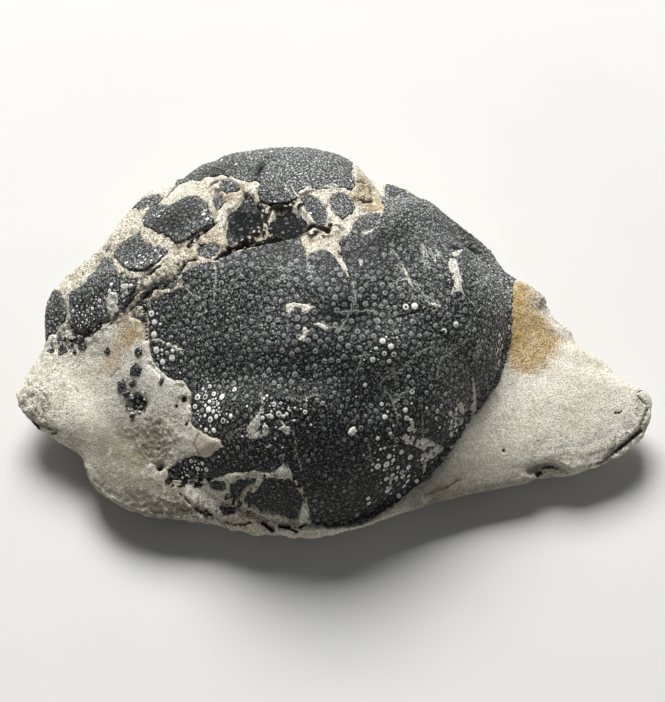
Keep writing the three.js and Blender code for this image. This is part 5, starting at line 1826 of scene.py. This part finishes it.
# %% Dark calcite
def dark_calcite():
    m = new_material("dark_calcite")
    [bright] = carried_values(m, "bright")
    cloud = cloudy(m, own_place(m), 0.5, 3.0)
    base = laid_over(m, cloud, "#0d0d0c", "#33302a")
    base = laid_over(m, bright, base, "#dedcd2")
    return surfaced(m, Base_Color=base, Roughness=ramp(m, cloud, 0, 1, 0.08, 0.4), IOR=1.6,
                    Normal=bumped(m, cloud, 0.3, 0.02))


# %% [markdown]
# ## Putting the finishes on
#
# The stone and the pads of marl on the shell are one and the same rock, so they share a
# finish. So do the plates and their crumbs.

# %% Finishes on the pieces
marl = dry_marl()
shell = mineralised_shell()
for piece in (stone, pads):
    piece.data.materials.append(marl)
for piece in shell_pieces:
    piece.data.materials.append(shell)
calcite_piece.data.materials.append(dark_calcite())

# %% [markdown]
# ## Floor, light and camera
#
# The floor is a plain pale board. One soft lamp above and behind the nodule rakes over the
# granules, so that each has a lit side and a dark one, and a weak one in front keeps the near
# flank from going black. The camera looks steeply down through a long lens.

# %% Floor
FLOOR_SIZE = 4.0         # metres


def lay_floor():
    """A plain board under the nodule, which isn't part of the piece."""
    half = FLOOR_SIZE / 2
    mesh = bpy.data.meshes.new("floor")
    mesh.from_pydata([(-half, -half, 0), (half, -half, 0), (half, half, 0), (-half, half, 0)],
                     [], [(0, 1, 2, 3)])
    floor = bpy.data.objects.new("floor", mesh)
    bpy.context.collection.objects.link(floor)
    m = new_material("pale_board")
    soft = node(m, "ShaderNodeTexNoise", {}, Vector=own_place(m), Scale=30.0, Detail=3.0)
    colour = laid_over(m, soft.outputs["Fac"], "#c9c8c4", "#cfcecb")
    mesh.materials.append(surfaced(m, Base_Color=colour, Roughness=0.8))


lay_floor()

# %% Lamps and the light of the room
LOOK_AT = (np.array([0.0, 0.0, 12.0]) + SHIFT) * MM      # a point low inside the dome
# Name, direction from the nodule, distance and width in metres, and power in watts.
LAMPS = (
    ("soft_key", (-0.1, 0.64, 0.77), 0.9, 0.5, 14.9),
    ("low_fill", (0.2, -0.8, 0.6), 1.2, 0.9, 0.75),
)
ROOM_COLOUR = "#dfe3e8"
ROOM_STRENGTH = 0.14


def area_light(name, direction, distance, size, watts):
    """A square lamp that faces the nodule from that direction."""
    lamp = bpy.data.lights.new(name, "AREA")
    lamp.energy = watts
    lamp.size = size
    light = bpy.data.objects.new(name, lamp)
    way = Vector(direction).normalized()
    light.location = Vector(LOOK_AT) + way * distance
    light.rotation_euler = way.to_track_quat("Z", "Y").to_euler()
    bpy.context.collection.objects.link(light)


for lamp_values in LAMPS:
    area_light(*lamp_values)

world = bpy.data.worlds.new("studio")
world.use_nodes = True
background = world.node_tree.nodes["Background"]
background.inputs["Color"].default_value = linear(ROOM_COLOUR)
background.inputs["Strength"].default_value = ROOM_STRENGTH
bpy.context.scene.world = world
bpy.context.scene.view_settings.view_transform = "Standard"

# %% Camera
CAMERA_ELEVATION = 62    # degrees
CAMERA_DISTANCE = 0.42   # metres
CAMERA_LENS = 143.5

lens = bpy.data.cameras.new("camera")
lens.lens = CAMERA_LENS
camera = bpy.data.objects.new("camera", lens)
tilt = math.radians(90 - CAMERA_ELEVATION)
camera.location = Vector(LOOK_AT) + CAMERA_DISTANCE * Vector((0, -math.sin(tilt), math.cos(tilt)))
camera.rotation_euler = (tilt, 0, 0)
bpy.context.collection.objects.link(camera)
bpy.context.scene.camera = camera
